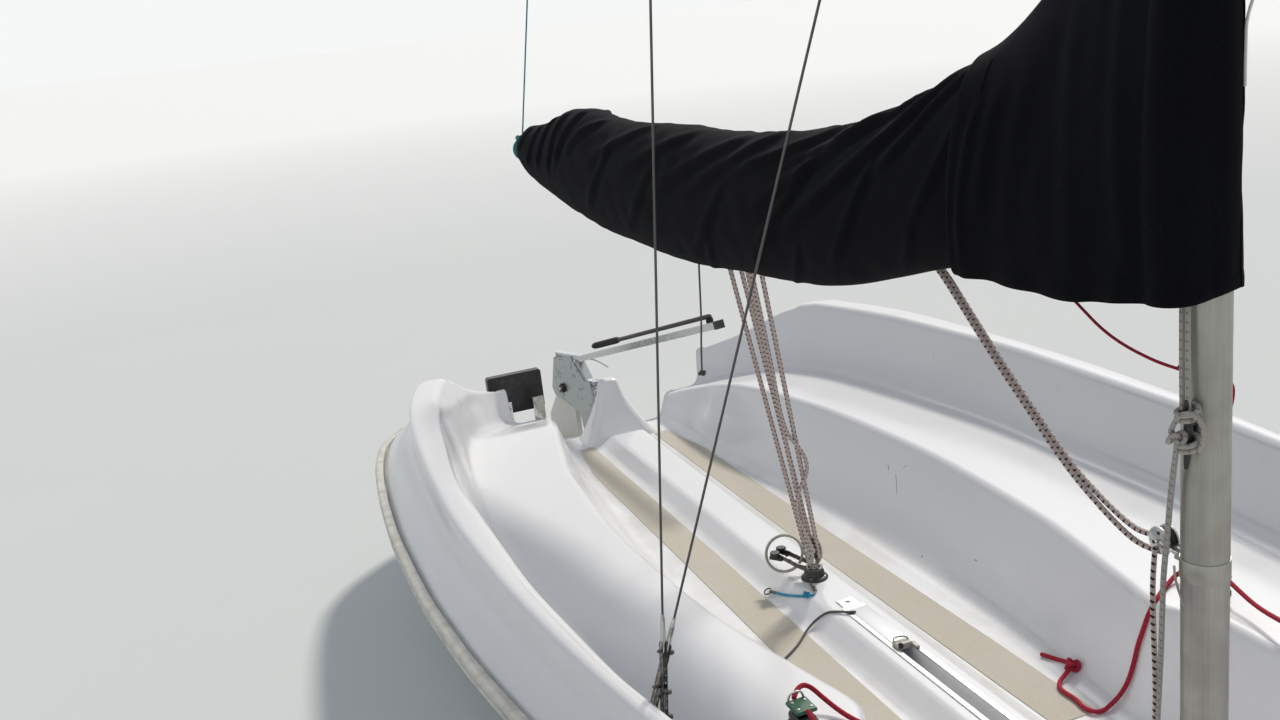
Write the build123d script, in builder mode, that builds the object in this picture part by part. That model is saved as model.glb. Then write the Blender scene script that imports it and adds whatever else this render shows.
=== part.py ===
from build123d import *
import math
import os

os.makedirs("parts", exist_ok=True)

# Sailing dinghy, millimetres. X forward, Y to port, Z up from the waterline.
# The origin is on the waterline, on the centreline, amidships.
# Plan outlines use stations: the distance forward of the transom.

transom_x = -2200.0

# Moulded hull
sheer_aft_z = 392.0
sheer_slope = 0.0218
seat_z = 393.0
floor_z = 150.0
ramp_start = 500.0
ramp_foot_z = 255.0
coaming_aft_z = 615.0
coaming_slope = -0.0066
quarter_foot_z = 392.0
quarter_top = 370.0
bulkhead_station = 3250.0

# Console along the floor, stern block and mast pedestal
console_z = 200.0
console_top_half = 58.0
console_foot_half = 104.0
console_aft = 120.0
pedestal_station = 3033.0
pedestal_z = 292.0
pedestal_half = 100.0
block_z = 365.0
block_top_half = 36.0
block_foot_half = 150.0
block_top_length = 55.0
block_foot_length = 150.0

# Centreboard and its case
board_gap = 6.5
board_thickness = 24.0
board_pivot_station = 2690.0
board_pivot_z = -40.0
board_head_radius = 62.0
board_length = 770.0
board_chord = 240.0
slot_clearance = 40.0
slot_aft = board_pivot_station - board_length - slot_clearance
slot_fore = board_pivot_station + board_head_radius + 13
board_pin_radius = 6.0
pin_gap = 0.1

# Spars
mast_radius = 36.0
mast_top_z = 6900.0
groove_width = 6.0
groove_depth = 8.0
boom_radius = 31.0
boom_length = 2725.0
boom_rest_angle = 5.56
gooseneck_gap = 42.0
gooseneck_z = 1330.0
boom_end_z = 1289.0
gooseneck_pin_radius = 5.0

# Standing rigging
wire_radius = 2.0
chainplate_station = 2584.0
chainplate_y = 776.0
chainplate_z = 520.0
adjuster_length = 135.0
spreader_station = 2649.0
spreader_y = 494.0
spreader_tip_z = 3542.0
spreader_root_z = 3470.0
spreader_radius = 11.0
lower_tang_z = 3228.0
hound_z = 5300.0
stem_station = 4340.0

# Rudder
pintle_station = -120.0
pintle_radius = 5.0
rudder_rest_angle = 14.0
blade_thickness = 20.0
blade_gap = 5.0
cheek_thickness = 4.0
kick_arm = 229.0
kick_z = 254.0
kick_pin_radius = 6.0
knob_radius = 21.0
blade_tip_z = -660.0
blade_chord = 215.0
tiller_side = 25.0
tiller_reach = 850.0
tiller_bend = -80.0
tiller_bend_z = 400.0
tiller_tail = -270.0
tiller_tail_z = 385.0
tiller_end_z = 672.0
extension_radius = 8.0
extension_length = 790.0

# Fittings
seat_gap = 0.2
rail_height = 34.0
rail_width = 26.0
rail_gap = 1.2
rail_stern = 60.0
rail_stern_half = 440.0
strip_thickness = 2.0
strip_rows = ((150, 122, 176), (420, 122, 214), (1300, 120, 224), (2100, 128, 238), (2480, 132, 240))
trim_end = 22.0
trim_width = 12.0
trim_height = 3.0
step_thickness = 8.0
chain_pin_radius = 4.0
strap_offset = 9.0
stay_reach = 18.0
stem_hole_radius = 5.0
vang_z = 775.0
cleat_z = 1003.0
sheet_station = 1662.0
jib_cleat_station = 2555.0
jib_cleat_y = 487.0
motor_pad_y = -330.0
motor_pad_z = 352.0
motor_pad_station = -95.0
cover_gap = 0.5
boot_wall = 5.0
boot_room = 18.0
boot_boom_room = 8.0
boom_start = 60.0
cap_length = 26.0
tiller_cap = 24.0
blade_fore = 60.0
gudgeon_heights = (70.0, 300.0)
arm_bearing = 215.0
ring_axis = (0.5, -0.7, 0.5)
motor_foot_z = 300.0

# Rudder head from the side: distance ahead of the pintles, height
cheek_points = (
    (-144, 399),
    (-277, 377),
    (-321, 241),
    (-306, 213),
    (-176, 184),
    (-118, 165),
    (-96, 50),
    (-14, 50),
    (-14, 322),
    (-57, 312),
)
spine_points = ((-14, 50), (-14, 320), (-42, 320), (-42, 50))
head_points = (
    (-42, 300),
    (-42, 320),
    (-96, 392),
    (-262, 392),
    (-262, 372),
    (-225, 350),
    (-120, 350),
    (-70, 300),
)

# Sail cover around the boom: share of the cover's length, low, high, half width
cover_start = 542.1
cover_end = boom_length - cap_length - 9
cover_rows = (
    (0, -174, 156, 94),
    (0.074, -188, 124, 98),
    (0.236, -236, 100, 104),
    (0.423, -250, 112, 104),
    (0.562, -244, 122, 102),
    (0.716, -210, 138, 94),
    (0.842, -150, 124, 80),
    (0.958, -80, 96, 56),
    (1, -46, 66, 44),
)

# Front of the cover around the mast: height, aft station, aft half width
boot_rows = ((1150, 2420, 106), (1360, 2480, 106), (1540, 2572, 92), (1650, 2750, 70), (2060, 2950, 52))


def level(z):
    return Plane(origin=(transom_x, 0, z), x_dir=(1, 0, 0), z_dir=(0, 0, 1))


def sheer_level(height):
    up = Vector(-sheer_slope, 0, 1).normalized()
    start = Vector(transom_x, 0, sheer_aft_z) + up * height
    return Plane(origin=start, x_dir=(1, 0, sheer_slope), z_dir=up)


def closed_outline(stern, quarter, fore, bow):
    # stern: (station, half); quarter: two points; fore: two points; bow: three points
    for side in (1, -1):
        points = [(x, side * y) for x, y in (stern, *quarter, *fore, *bow[:2])]
        Line((stern[0], 0), points[0])
        ThreePointArc(points[0], points[1], points[2])
        ThreePointArc(points[2], points[3], points[4])
        ThreePointArc(points[4], points[5], points[6])
    nose = bow[1]
    ThreePointArc((nose[0], nose[1]), (bow[2], 0), (nose[0], -nose[1]))


# Outline of the sheer: stern, quarter, fore body, bow
sheer_row = ((0, 420), ((165, 705), (450, 920)), ((1650, 1010), (3000, 835)), ((3955, 503), (4615, 75), 4678))

# Waterlines of the hull: height, then the same columns as the sheer
hull_rows = (
    (-130, (1100, 50), ((1200, 100), (1350, 140)), ((1900, 190), (2400, 130)), ((2650, 70), (2800, 14), 2820)),
    (-100, (450, 160), ((650, 300), (950, 400)), ((1800, 500), (2800, 310)), ((3200, 165), (3550, 20), 3580)),
    (-40, (100, 280), ((290, 440), (600, 570)), ((1750, 690), (2950, 450)), ((3600, 230), (4050, 30), 4085)),
    (40, (20, 360), ((190, 545), (480, 700)), ((1700, 830), (3000, 580)), ((3800, 302), (4320, 36), 4360)),
    (180, (0, 400), ((170, 630), (450, 810)), ((1650, 930), (3000, 710)), ((3900, 390), (4470, 50), 4515)),
    (385, *sheer_row),
    (540, *sheer_row),
)

# Deck mould above the sheer: height over the sheer plane, then the same columns
deck_rows = (
    (0, *sheer_row),
    (35, (10, 420), ((180, 697), (456, 903)), ((1650, 994), (3000, 826)), ((3950, 500), (4605, 72), 4662)),
    (75, (40, 420), ((212, 684), (500, 866)), ((1650, 958), (2990, 796)), ((3900, 480), (4530, 68), 4584)),
    (120, (80, 420), ((245, 675), (560, 846)), ((1650, 934), (2970, 780)), ((3850, 466), (4450, 64), 4500)),
    (240, (170, 420), ((312, 662), (625, 822)), ((1650, 912), (2950, 768)), ((3790, 452), (4350, 60), 4398)),
)

# Cockpit above the seats: height, stern half, quarter, side, front corner
seat_rows = (
    (seat_z, 380, ((200, 505), (550, 660)), ((1650, 785), (2950, 668)), ((3120, 610), (3200, 450))),
    (455, 402, ((200, 556), (550, 712)), ((1650, 842), (2950, 722)), ((3165, 650), (3238, 490))),
    (680, 420, ((200, 580), (550, 742)), ((1650, 872), (2950, 752)), ((3190, 670), (bulkhead_station + 10, 500))),
)

# Well between the seats: height, stern half, then half widths at the stations below
well_stations = (375, 1000, 1500, 2000, 2530, 2665, 3180)
well_rows = (
    (floor_z, 200, (238, 290, 312, 318, 285, 330, 320)),
    (215, 230, (262, 355, 388, 375, 312, 362, 350)),
    (440, 262, (312, 470, 500, 467, 366, 422, 402)),
)


def cockpit_outline(stern_half, quarter, side, front):
    for hand in (1, -1):
        aft = (-400, hand * stern_half)
        stern = (-20, hand * stern_half)
        Line((-400, 0), aft)
        Line(aft, stern)
        ThreePointArc(stern, (quarter[0][0], hand * quarter[0][1]), (quarter[1][0], hand * quarter[1][1]))
        ThreePointArc(
            (quarter[1][0], hand * quarter[1][1]),
            (side[0][0], hand * side[0][1]),
            (side[1][0], hand * side[1][1]),
        )
        ThreePointArc(
            (side[1][0], hand * side[1][1]),
            (front[0][0], hand * front[0][1]),
            (front[1][0], hand * front[1][1]),
        )
        Line((front[1][0], hand * front[1][1]), (front[1][0], 0))


def well_outline(stern_half, halves):
    st = well_stations
    for hand in (1, -1):
        p = [(x, hand * y) for x, y in zip(st, halves)]
        aft = (-400, hand * stern_half)
        Line((-400, 0), aft)
        Line(aft, p[0])
        ThreePointArc(p[0], p[1], p[2])
        ThreePointArc(p[2], p[3], p[4])
        Line(p[4], p[5])
        Line(p[5], p[6])
        Line(p[6], (st[6], 0))


def at(station, y, z):
    return (transom_x + station, y, z)


# Space of the cockpit over the seats
with BuildPart() as seat_space:
    for z, stern_half, quarter, side, front in seat_rows:
        with BuildSketch(level(z)):
            with BuildLine():
                cockpit_outline(stern_half, quarter, side, front)
            make_face()
    loft(ruled=True)

# Ramp at the stern, where the seats run down to the transom
with BuildPart() as ramp_space:
    with BuildSketch(Plane.XZ):
        with BuildLine():
            Polyline(
                (transom_x + ramp_start, seat_z),
                (transom_x, ramp_foot_z),
                (transom_x - 300, ramp_foot_z),
                (transom_x - 300, 700),
                (transom_x + ramp_start, 700),
                close=True,
            )
        make_face()
    extrude(amount=1200, both=True)

with BuildPart() as ramp_reach:
    with BuildSketch(level(ramp_foot_z - 40)):
        with BuildLine():
            cockpit_outline(*seat_rows[0][1:])
        make_face()
    extrude(amount=seat_z - ramp_foot_z + 41)

# Space of the well
with BuildPart() as well_space:
    for z, stern_half, halves in well_rows:
        with BuildSketch(level(z)):
            with BuildLine():
                well_outline(stern_half, halves)
            make_face()
    loft(ruled=True)

# Slot of the centreboard case
slot_width = board_thickness + 2 * board_gap
with BuildPart() as slot_space:
    with BuildSketch(level(-400)):
        with Locations(((slot_aft + slot_fore) / 2, 0)):
            SlotOverall(slot_fore - slot_aft, slot_width)
    extrude(amount=900)

# Hull moulding: shell, seats, floor, console, stern block and pedestal in one
sheer_plane = sheer_level(0)
with BuildPart() as hull_moulding:
    for z, stern, quarter, fore, bow in hull_rows:
        with BuildSketch(level(z)):
            with BuildLine():
                closed_outline(stern, quarter, fore, bow)
            make_face()
    loft(ruled=True)
    split(bisect_by=sheer_plane, keep=Keep.BOTTOM)
    add(seat_space.part, mode=Mode.SUBTRACT)
    add(ramp_space.part & ramp_reach.part, mode=Mode.SUBTRACT)
    add(well_space.part, mode=Mode.SUBTRACT)
    with BuildSketch(Plane.YZ.offset(transom_x + console_aft)):
        with BuildLine():
            Polyline(
                (-console_foot_half, floor_z - 10),
                (-console_foot_half, floor_z),
                (-console_top_half, console_z),
                (console_top_half, console_z),
                (console_foot_half, floor_z),
                (console_foot_half, floor_z - 10),
                close=True,
            )
        make_face()
    extrude(amount=bulkhead_station - console_aft)
    block_rows = ((floor_z - 10, block_foot_half, block_foot_length), (block_z, block_top_half, block_top_length))
    for z, half, length in block_rows:
        with BuildSketch(level(z)):
            with Locations((length / 2, 0)):
                Rectangle(length, 2 * half)
    loft()
    for z, half in ((floor_z - 10, pedestal_half + 34), (pedestal_z, pedestal_half)):
        with BuildSketch(level(z)):
            with Locations((pedestal_station, 0)):
                Rectangle(2 * half + 60, 2 * half)
    loft()
    add(slot_space.part, mode=Mode.SUBTRACT)

# Deck moulding: coamings around the cockpit and the foredeck
coaming_plane = Plane(
    origin=(transom_x, 0, coaming_aft_z), x_dir=(1, 0, coaming_slope), z_dir=(-coaming_slope, 0, 1)
)
quarter_top_z = coaming_aft_z + coaming_slope * quarter_top
with BuildPart() as deck_moulding:
    for height, stern, quarter, fore, bow in deck_rows:
        with BuildSketch(sheer_level(height)):
            with BuildLine():
                closed_outline(stern, quarter, fore, bow)
            make_face()
    loft(ruled=True)
    split(bisect_by=coaming_plane, keep=Keep.BOTTOM)
    with BuildSketch(Plane.XZ.offset(-1500)):
        with BuildLine():
            Polyline(
                (transom_x - 60, quarter_foot_z - 30),
                (transom_x, quarter_foot_z),
                (transom_x + quarter_top, quarter_top_z),
                (transom_x + quarter_top, 900),
                (transom_x - 60, 900),
                close=True,
            )
        make_face()
    extrude(amount=3000, mode=Mode.SUBTRACT)
    add(seat_space.part, mode=Mode.SUBTRACT)
    add(well_space.part, mode=Mode.SUBTRACT)

# Rubbing strake around the sheer, open across the stern
with BuildPart() as rub_rail:
    for amount, mode in ((rail_width, Mode.ADD), (rail_gap, Mode.SUBTRACT)):
        with BuildSketch(sheer_level(-rail_height / 2)):
            with BuildLine():
                closed_outline(*sheer_row)
            make_face()
            offset(amount=amount)
        extrude(amount=rail_height, mode=mode)
    with BuildSketch(sheer_level(-rail_height)):
        Rectangle(2 * rail_stern, 2 * rail_stern_half)
    extrude(amount=2 * rail_height, mode=Mode.SUBTRACT)

# Non-skid strips on the floor, on both sides of the console
with BuildPart() as floor_strips:
    with BuildSketch(level(floor_z)):
        for hand in (1, -1):
            with BuildLine():
                inner = [(x, hand * a) for x, a, b in strip_rows]
                outer = [(x, hand * b) for x, a, b in reversed(strip_rows)]
                Polyline(*inner, *outer, close=True)
            make_face()
    extrude(amount=strip_thickness)

# Metal trim on both edges of the board slot, with the aft plate
with BuildPart() as slot_trim:
    with BuildSketch(level(console_z)):
        with Locations(((slot_aft + slot_fore) / 2, 0)):
            RectangleRounded(slot_fore - slot_aft + 2 * trim_end, slot_width + 2 * trim_width, 9)
            SlotOverall(slot_fore - slot_aft, slot_width, mode=Mode.SUBTRACT)
        with Locations((slot_aft - trim_end - 18, 0)):
            Rectangle(44, 46)
    extrude(amount=trim_height)
    with Locations(at(slot_aft - trim_end - 20, 0, console_z + trim_height)):
        Cylinder(6, 20, mode=Mode.SUBTRACT)

# Centreboard, raised in its case, with its pivot pin
pivot = at(board_pivot_station, 0, board_pivot_z)
with BuildPart() as centreboard:
    with BuildSketch(Plane(origin=pivot, x_dir=(1, 0, 0), z_dir=(0, -1, 0))):
        with BuildLine():
            top = board_chord - board_head_radius
            Line((0, -board_head_radius), (-board_length + 40, -board_head_radius))
            Line((-board_length + 40, -board_head_radius), (-board_length, -board_head_radius + 40))
            Line((-board_length, -board_head_radius + 40), (-board_length + 60, top))
            Line((-board_length + 60, top), (-170, top))
            ThreePointArc((-170, top), (-60, top - 62), (0, board_head_radius))
            ThreePointArc((0, board_head_radius), (board_head_radius, 0), (0, -board_head_radius))
        make_face()
        Circle(board_pin_radius + pin_gap, mode=Mode.SUBTRACT)
    extrude(amount=board_thickness / 2, both=True)

with BuildPart() as board_pin:
    with Locations(Plane(origin=pivot, x_dir=(1, 0, 0), z_dir=(0, -1, 0))):
        Cylinder(board_pin_radius, slot_width)


def rod(start, end, radius):
    way = Vector(*end) - Vector(*start)
    with Locations(Plane(origin=start, z_dir=way)):
        Cylinder(radius, way.length, align=(Align.CENTER, Align.CENTER, Align.MIN))


def mirrored(point):
    return (point[0], -point[1], point[2])


def deck_top(station):
    return coaming_aft_z + coaming_slope * station


def along(start, end, distance):
    way = (Vector(*end) - Vector(*start)).normalized()
    return tuple(Vector(*start) + way * distance)


# Mast step: plate and collar on the pedestal
mast_foot_z = pedestal_z + step_thickness
with BuildPart() as mast_step:
    with Locations(at(pedestal_station, 0, pedestal_z)):
        Box(150, 120, step_thickness, align=(Align.CENTER, Align.CENTER, Align.MIN))
    with Locations(at(pedestal_station, 0, mast_foot_z)):
        Cylinder(mast_radius + 6, 30, align=(Align.CENTER, Align.CENTER, Align.MIN))
        Cylinder(mast_radius + seat_gap, 30, align=(Align.CENTER, Align.CENTER, Align.MIN), mode=Mode.SUBTRACT)

# Mast with its luff groove on the aft side
with BuildPart() as mast:
    with BuildSketch(level(mast_foot_z)):
        with Locations((pedestal_station, 0)):
            Circle(mast_radius)
        with Locations((pedestal_station - mast_radius, 0)):
            Rectangle(2 * groove_depth, groove_width, mode=Mode.SUBTRACT)
    extrude(amount=mast_top_z - mast_foot_z)

with BuildPart() as masthead:
    with Locations(at(pedestal_station - 20, 0, mast_top_z)):
        Box(150, 42, 8, align=(Align.CENTER, Align.CENTER, Align.MIN))
    with Locations(at(pedestal_station - 74, 0, mast_top_z + 8)):
        Box(42, 8, 34, align=(Align.CENTER, Align.CENTER, Align.MIN))
        with Locations((0, 0, 17)):
            Cylinder(22, 12, rotation=(90, 0, 0))

# Spreaders: a bracket collar and two swept arms
spreader_root = at(pedestal_station - 24, 32, spreader_root_z)
spreader_tip = at(spreader_station, spreader_y, spreader_tip_z)
with BuildPart() as spreaders:
    with Locations(at(pedestal_station, 0, spreader_root_z)):
        Cylinder(mast_radius + 8, 64)
        Cylinder(mast_radius + seat_gap, 64, mode=Mode.SUBTRACT)
    for hand in (1, -1):
        root = (spreader_root[0], hand * spreader_root[1], spreader_root[2])
        end = along((spreader_tip[0], hand * spreader_tip[1], spreader_tip[2]), root, spreader_radius)
        rod(root, end, spreader_radius)
    with Locations(at(pedestal_station, 0, spreader_root_z)):
        Cylinder(mast_radius + seat_gap, 64, mode=Mode.SUBTRACT)
    for hand in (1, -1):
        with Locations((spreader_tip[0], hand * spreader_tip[1], spreader_tip[2])):
            Cylinder(wire_radius + seat_gap, 80, mode=Mode.SUBTRACT)

# Chainplates on the inside of the coamings
chain_top = (chainplate_station, chainplate_y, chainplate_z)
with BuildPart() as chainplates:
    for hand in (1, -1):
        with Locations(at(chainplate_station, hand * (chainplate_y + 1), seat_z)):
            Box(70, 46, 5, align=(Align.CENTER, Align.CENTER, Align.MIN))
            Box(34, 5, chainplate_z - seat_z + 14, align=(Align.CENTER, Align.CENTER, Align.MIN))
        with Locations(at(chainplate_station, hand * chainplate_y, chainplate_z)):
            Cylinder(chain_pin_radius + pin_gap, 30, rotation=(90, 0, 0), mode=Mode.SUBTRACT)
    add(hull_moulding.part, mode=Mode.SUBTRACT)
    add(deck_moulding.part, mode=Mode.SUBTRACT)

# Shroud adjusters: two perforated straps on each chainplate, with the clevis pin
cap_start = at(chainplate_station - 9, chainplate_y, chainplate_z)
lower_start = at(chainplate_station + 9, chainplate_y, chainplate_z)
lower_top = at(pedestal_station - mast_radius - 2, 12, lower_tang_z)
hound_top = at(pedestal_station - 8, mast_radius + 2, hound_z)
with BuildPart() as shroud_adjusters:
    for hand in (1, -1):
        for start, end, side in ((cap_start, spreader_tip, 1), (lower_start, lower_top, -1)):
            foot = (start[0], hand * (start[1] + side * strap_offset), start[2])
            head = along(foot, (end[0], hand * end[1], end[2]), adjuster_length)
            way = Vector(*head) - Vector(*foot)
            with Locations(Plane(origin=along(foot, head, -12), x_dir=(1, 0, 0), z_dir=way)):
                Box(16, 3, adjuster_length + 24, align=(Align.CENTER, Align.CENTER, Align.MIN))
        with Locations(at(chainplate_station, hand * chainplate_y, chainplate_z)):
            Cylinder(chain_pin_radius, 2 * strap_offset + 12, rotation=(90, 0, 0))


def wire_foot(start, end, side, hand):
    foot = (start[0], hand * (start[1] + side * strap_offset), start[2])
    return along(foot, (end[0], hand * end[1], end[2]), adjuster_length + 12)


with BuildPart() as cap_shrouds:
    for hand in (1, -1):
        foot = wire_foot(cap_start, spreader_tip, 1, hand)
        bend = (spreader_tip[0], hand * spreader_tip[1], spreader_tip[2])
        top = (hound_top[0], hand * hound_top[1], hound_top[2])
        rod(foot, bend, wire_radius)
        rod(bend, top, wire_radius)
        with Locations(bend):
            Sphere(wire_radius)

with BuildPart() as lower_shrouds:
    for hand in (1, -1):
        foot = wire_foot(lower_start, lower_top, -1, hand)
        rod(foot, (lower_top[0], hand * lower_top[1], lower_top[2]), wire_radius)

# Stem fitting, forestay, furler drum and the jib rolled on the stay
stem_z = deck_top(stem_station)
stay_foot = at(stem_station, 0, stem_z + 45)
stay_top = at(pedestal_station + mast_radius + stay_reach, 0, hound_z + 12)
stay = Vector(*stay_top) - Vector(*stay_foot)
jib_head = 0.887 * stay.length
with BuildPart() as stem_fitting:
    with Locations(Plane(origin=at(stem_station + 30, 0, deck_top(stem_station + 30)), z_dir=coaming_plane.z_dir)):
        Box(200, 60, 4, align=(Align.CENTER, Align.CENTER, Align.MIN))
        Box(120, 6, 62, align=(Align.CENTER, Align.CENTER, Align.MIN))
    with Locations(stay_foot, at(stem_station + 72, 0, stem_z + 30)):
        Cylinder(stem_hole_radius, 12, rotation=(90, 0, 0), mode=Mode.SUBTRACT)

with BuildPart() as furler:
    with Locations(Plane(origin=stay_foot, z_dir=stay)):
        with Locations((0, 0, 24)):
            Cylinder(6, 52, align=(Align.CENTER, Align.CENTER, Align.MIN))
        for height, radius, thick in ((74, 52, 4), (78, 24, 30), (108, 52, 4), (112, 11, 50)):
            with Locations((0, 0, height)):
                Cylinder(radius, thick, align=(Align.CENTER, Align.CENTER, Align.MIN))
    with Locations(stay_foot):
        with Locations((0, 0, 10)):
            Box(26, 22, 52)
        Box(80, 6 + 2 * seat_gap, 100, mode=Mode.SUBTRACT)
        with Locations((0, 0, 30)):
            Box(26, 22, 14)
        Cylinder(stem_hole_radius - pin_gap, 26, rotation=(90, 0, 0))

with BuildPart() as furled_jib:
    for height, radius in ((163, 16), (320, 46), (0.35 * jib_head, 40), (0.74 * jib_head, 24), (jib_head, 11)):
        with BuildSketch(Plane(origin=along(stay_foot, stay_top, height), z_dir=stay)):
            Circle(radius)
    loft(ruled=True)

with BuildPart() as forestay:
    rod(along(stay_foot, stay_top, jib_head), stay_top, wire_radius + 1)

# Tangs on the mast for the shrouds and the forestay
with BuildPart() as mast_tangs:
    for z in (lower_tang_z, hound_z):
        with Locations(at(pedestal_station, 0, z)):
            Cylinder(mast_radius + 12, 26, align=(Align.CENTER, Align.CENTER, Align.MIN))
    with Locations(at(pedestal_station + mast_radius + stay_reach, 0, hound_z)):
        Box(28, 18, 26, align=(Align.CENTER, Align.CENTER, Align.MIN))
    for z in (lower_tang_z, hound_z):
        with Locations(at(pedestal_station, 0, z)):
            Cylinder(mast_radius + seat_gap, 26, align=(Align.CENTER, Align.CENTER, Align.MIN), mode=Mode.SUBTRACT)
    for wires in (cap_shrouds.part, lower_shrouds.part, forestay.part):
        add(wires, mode=Mode.SUBTRACT)

# Boom with its gooseneck, turned to where it lies
gooseneck = at(pedestal_station - mast_radius - gooseneck_gap, 0, gooseneck_z)
rest = math.radians(boom_rest_angle)
boom_run = math.sqrt(boom_length**2 - (gooseneck_z - boom_end_z) ** 2)
boom_way = Vector(-math.cos(rest) * boom_run, -math.sin(rest) * boom_run, boom_end_z - gooseneck_z).normalized()
boom_port = Vector(-math.sin(rest), math.cos(rest), 0)
boom_up = boom_port.cross(boom_way)


def boom_frame(distance):
    # local x points to starboard, local y up, local z runs aft along the boom
    start = Vector(*gooseneck) + boom_way * distance
    return Plane(origin=start, x_dir=boom_port * -1, z_dir=boom_way)


with BuildPart() as gooseneck_bracket:
    with Locations(at(pedestal_station, 0, gooseneck_z)):
        Cylinder(mast_radius + 4, 70)
    for lift in (-1, 1):
        with Locations((gooseneck[0] + gooseneck_gap / 2, 0, gooseneck_z + lift * 20)):
            Box(gooseneck_gap + 26, 28, 6)
    with Locations(at(pedestal_station, 0, gooseneck_z)):
        Cylinder(mast_radius + seat_gap, 90, mode=Mode.SUBTRACT)
    with Locations(gooseneck):
        Cylinder(gooseneck_pin_radius + pin_gap, 90, mode=Mode.SUBTRACT)

with BuildPart() as gooseneck_toggle:
    with Locations(gooseneck):
        Cylinder(gooseneck_pin_radius, 60)
        Cylinder(11, 24)
    with Locations(boom_frame(0)):
        Cylinder(9, boom_start, align=(Align.CENTER, Align.CENTER, Align.MIN))

with BuildPart() as boom:
    with BuildSketch(boom_frame(boom_start)):
        Circle(boom_radius)
    extrude(amount=boom_length - boom_start - cap_length)

with BuildPart() as boom_end_cap:
    with BuildSketch(boom_frame(boom_length - cap_length)):
        Circle(boom_radius + 1.5)
    extrude(amount=cap_length)
    fillet(boom_end_cap.faces().sort_by(Axis.X)[0].edges(), 5)
    with Locations(boom_frame(boom_length - cap_length / 2)):
        Cylinder(5, 90, rotation=(90, 0, 0), mode=Mode.SUBTRACT)

# Sail cover: the bundle of the sail along the boom
with BuildPart() as sail_cover:
    for share, low, high, half in cover_rows:
        with BuildSketch(boom_frame(cover_start + share * (cover_end - cover_start))):
            with Locations((0, (low + high) / 2)):
                Ellipse(half, (high - low) / 2)
    loft(ruled=True)
    with BuildSketch(boom_frame(0)):
        Circle(boom_radius + cover_gap)
    extrude(amount=boom_length, mode=Mode.SUBTRACT)


def boot_outline(aft, half, inset):
    # the aft end follows the boom to the side, the front goes round the mast
    boom_shift = -(pedestal_station - mast_radius - gooseneck_gap - aft) * math.tan(rest)
    round_mast = mast_radius + boot_room - inset
    back = aft + inset
    for hand in (1, -1):
        corner = (back, boom_shift + hand * (half - inset))
        Line((back, boom_shift), corner)
        Line(corner, (pedestal_station, hand * round_mast))
    ThreePointArc(
        (pedestal_station, round_mast), (pedestal_station + round_mast, 0), (pedestal_station, -round_mast)
    )


# Front of the cover, laced round the mast, open below
with BuildPart() as boot_hollow:
    for z, aft, half in boot_rows:
        with BuildSketch(level(z)):
            with BuildLine():
                boot_outline(aft, half, boot_wall)
            make_face()
    loft(ruled=True)

with BuildPart() as cover_boot:
    for z, aft, half in boot_rows:
        with BuildSketch(level(z)):
            with BuildLine():
                boot_outline(aft, half, 0)
            make_face()
    loft(ruled=True)
    add(boot_hollow.part, mode=Mode.SUBTRACT)
    with BuildSketch(boom_frame(0)):
        Circle(boom_radius + boot_boom_room)
    extrude(amount=boom_length, mode=Mode.SUBTRACT)

# Rudder
pintle = at(pintle_station, 0, 0)
helm = math.radians(rudder_rest_angle)
ahead = Vector(math.cos(helm), math.sin(helm), 0)
abeam = Vector(-math.sin(helm), math.cos(helm), 0)
rudder_plane = Plane(origin=pintle, x_dir=ahead, z_dir=abeam * -1)
cheek_inner = blade_thickness / 2 + blade_gap
kick_point = Vector(*pintle) - ahead * kick_arm + Vector(0, 0, kick_z)

with BuildPart() as gudgeons:
    for z in gudgeon_heights:
        with Locations((transom_x, 0, z)):
            Box(6, 90, 36, align=(Align.MAX, Align.CENTER, Align.CENTER))
        with Locations((transom_x - 6, 0, z)):
            Box(-pintle_station - 6 + 4, 22, 14, align=(Align.MAX, Align.CENTER, Align.CENTER))
        with Locations((pintle[0], 0, z)):
            Cylinder(12, 14)
            Cylinder(pintle_radius + pin_gap, 60, mode=Mode.SUBTRACT)

# Tiller: a square tube, bent where it leaves the rudder head
tiller_bend_point = Vector(*pintle) + ahead * tiller_bend + Vector(0, 0, tiller_bend_z)
tiller_end = Vector(*pintle) + ahead * tiller_reach + Vector(0, 0, tiller_end_z)
tiller_way = (tiller_end - tiller_bend_point).normalized()
tiller_up = tiller_way.cross(abeam)
tiller_half = tiller_side / 2
tiller_rise = math.atan2(tiller_end_z - tiller_bend_z, tiller_reach - tiller_bend)
square_x = tiller_reach - tiller_cap * math.cos(tiller_rise)
square_z = tiller_end_z - tiller_cap * math.sin(tiller_rise)
with BuildPart() as tiller:
    with BuildSketch(rudder_plane):
        with BuildLine():
            Polyline(
                (tiller_tail, tiller_tail_z - tiller_half),
                (tiller_bend, tiller_bend_z - tiller_half),
                (square_x + tiller_half * math.sin(tiller_rise), square_z - tiller_half * math.cos(tiller_rise)),
                (square_x - tiller_half * math.sin(tiller_rise), square_z + tiller_half * math.cos(tiller_rise)),
                (tiller_bend, tiller_bend_z + tiller_half),
                (tiller_tail, tiller_tail_z + tiller_half),
                close=True,
            )
        make_face()
    extrude(amount=tiller_half, both=True)

with BuildPart() as tiller_end_cap:
    with Locations(Plane(origin=tiller_end - tiller_way * tiller_cap, x_dir=abeam, z_dir=tiller_way)):
        Box(tiller_side + 3, tiller_side + 3, tiller_cap, align=(Align.CENTER, Align.CENTER, Align.MIN))

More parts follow.
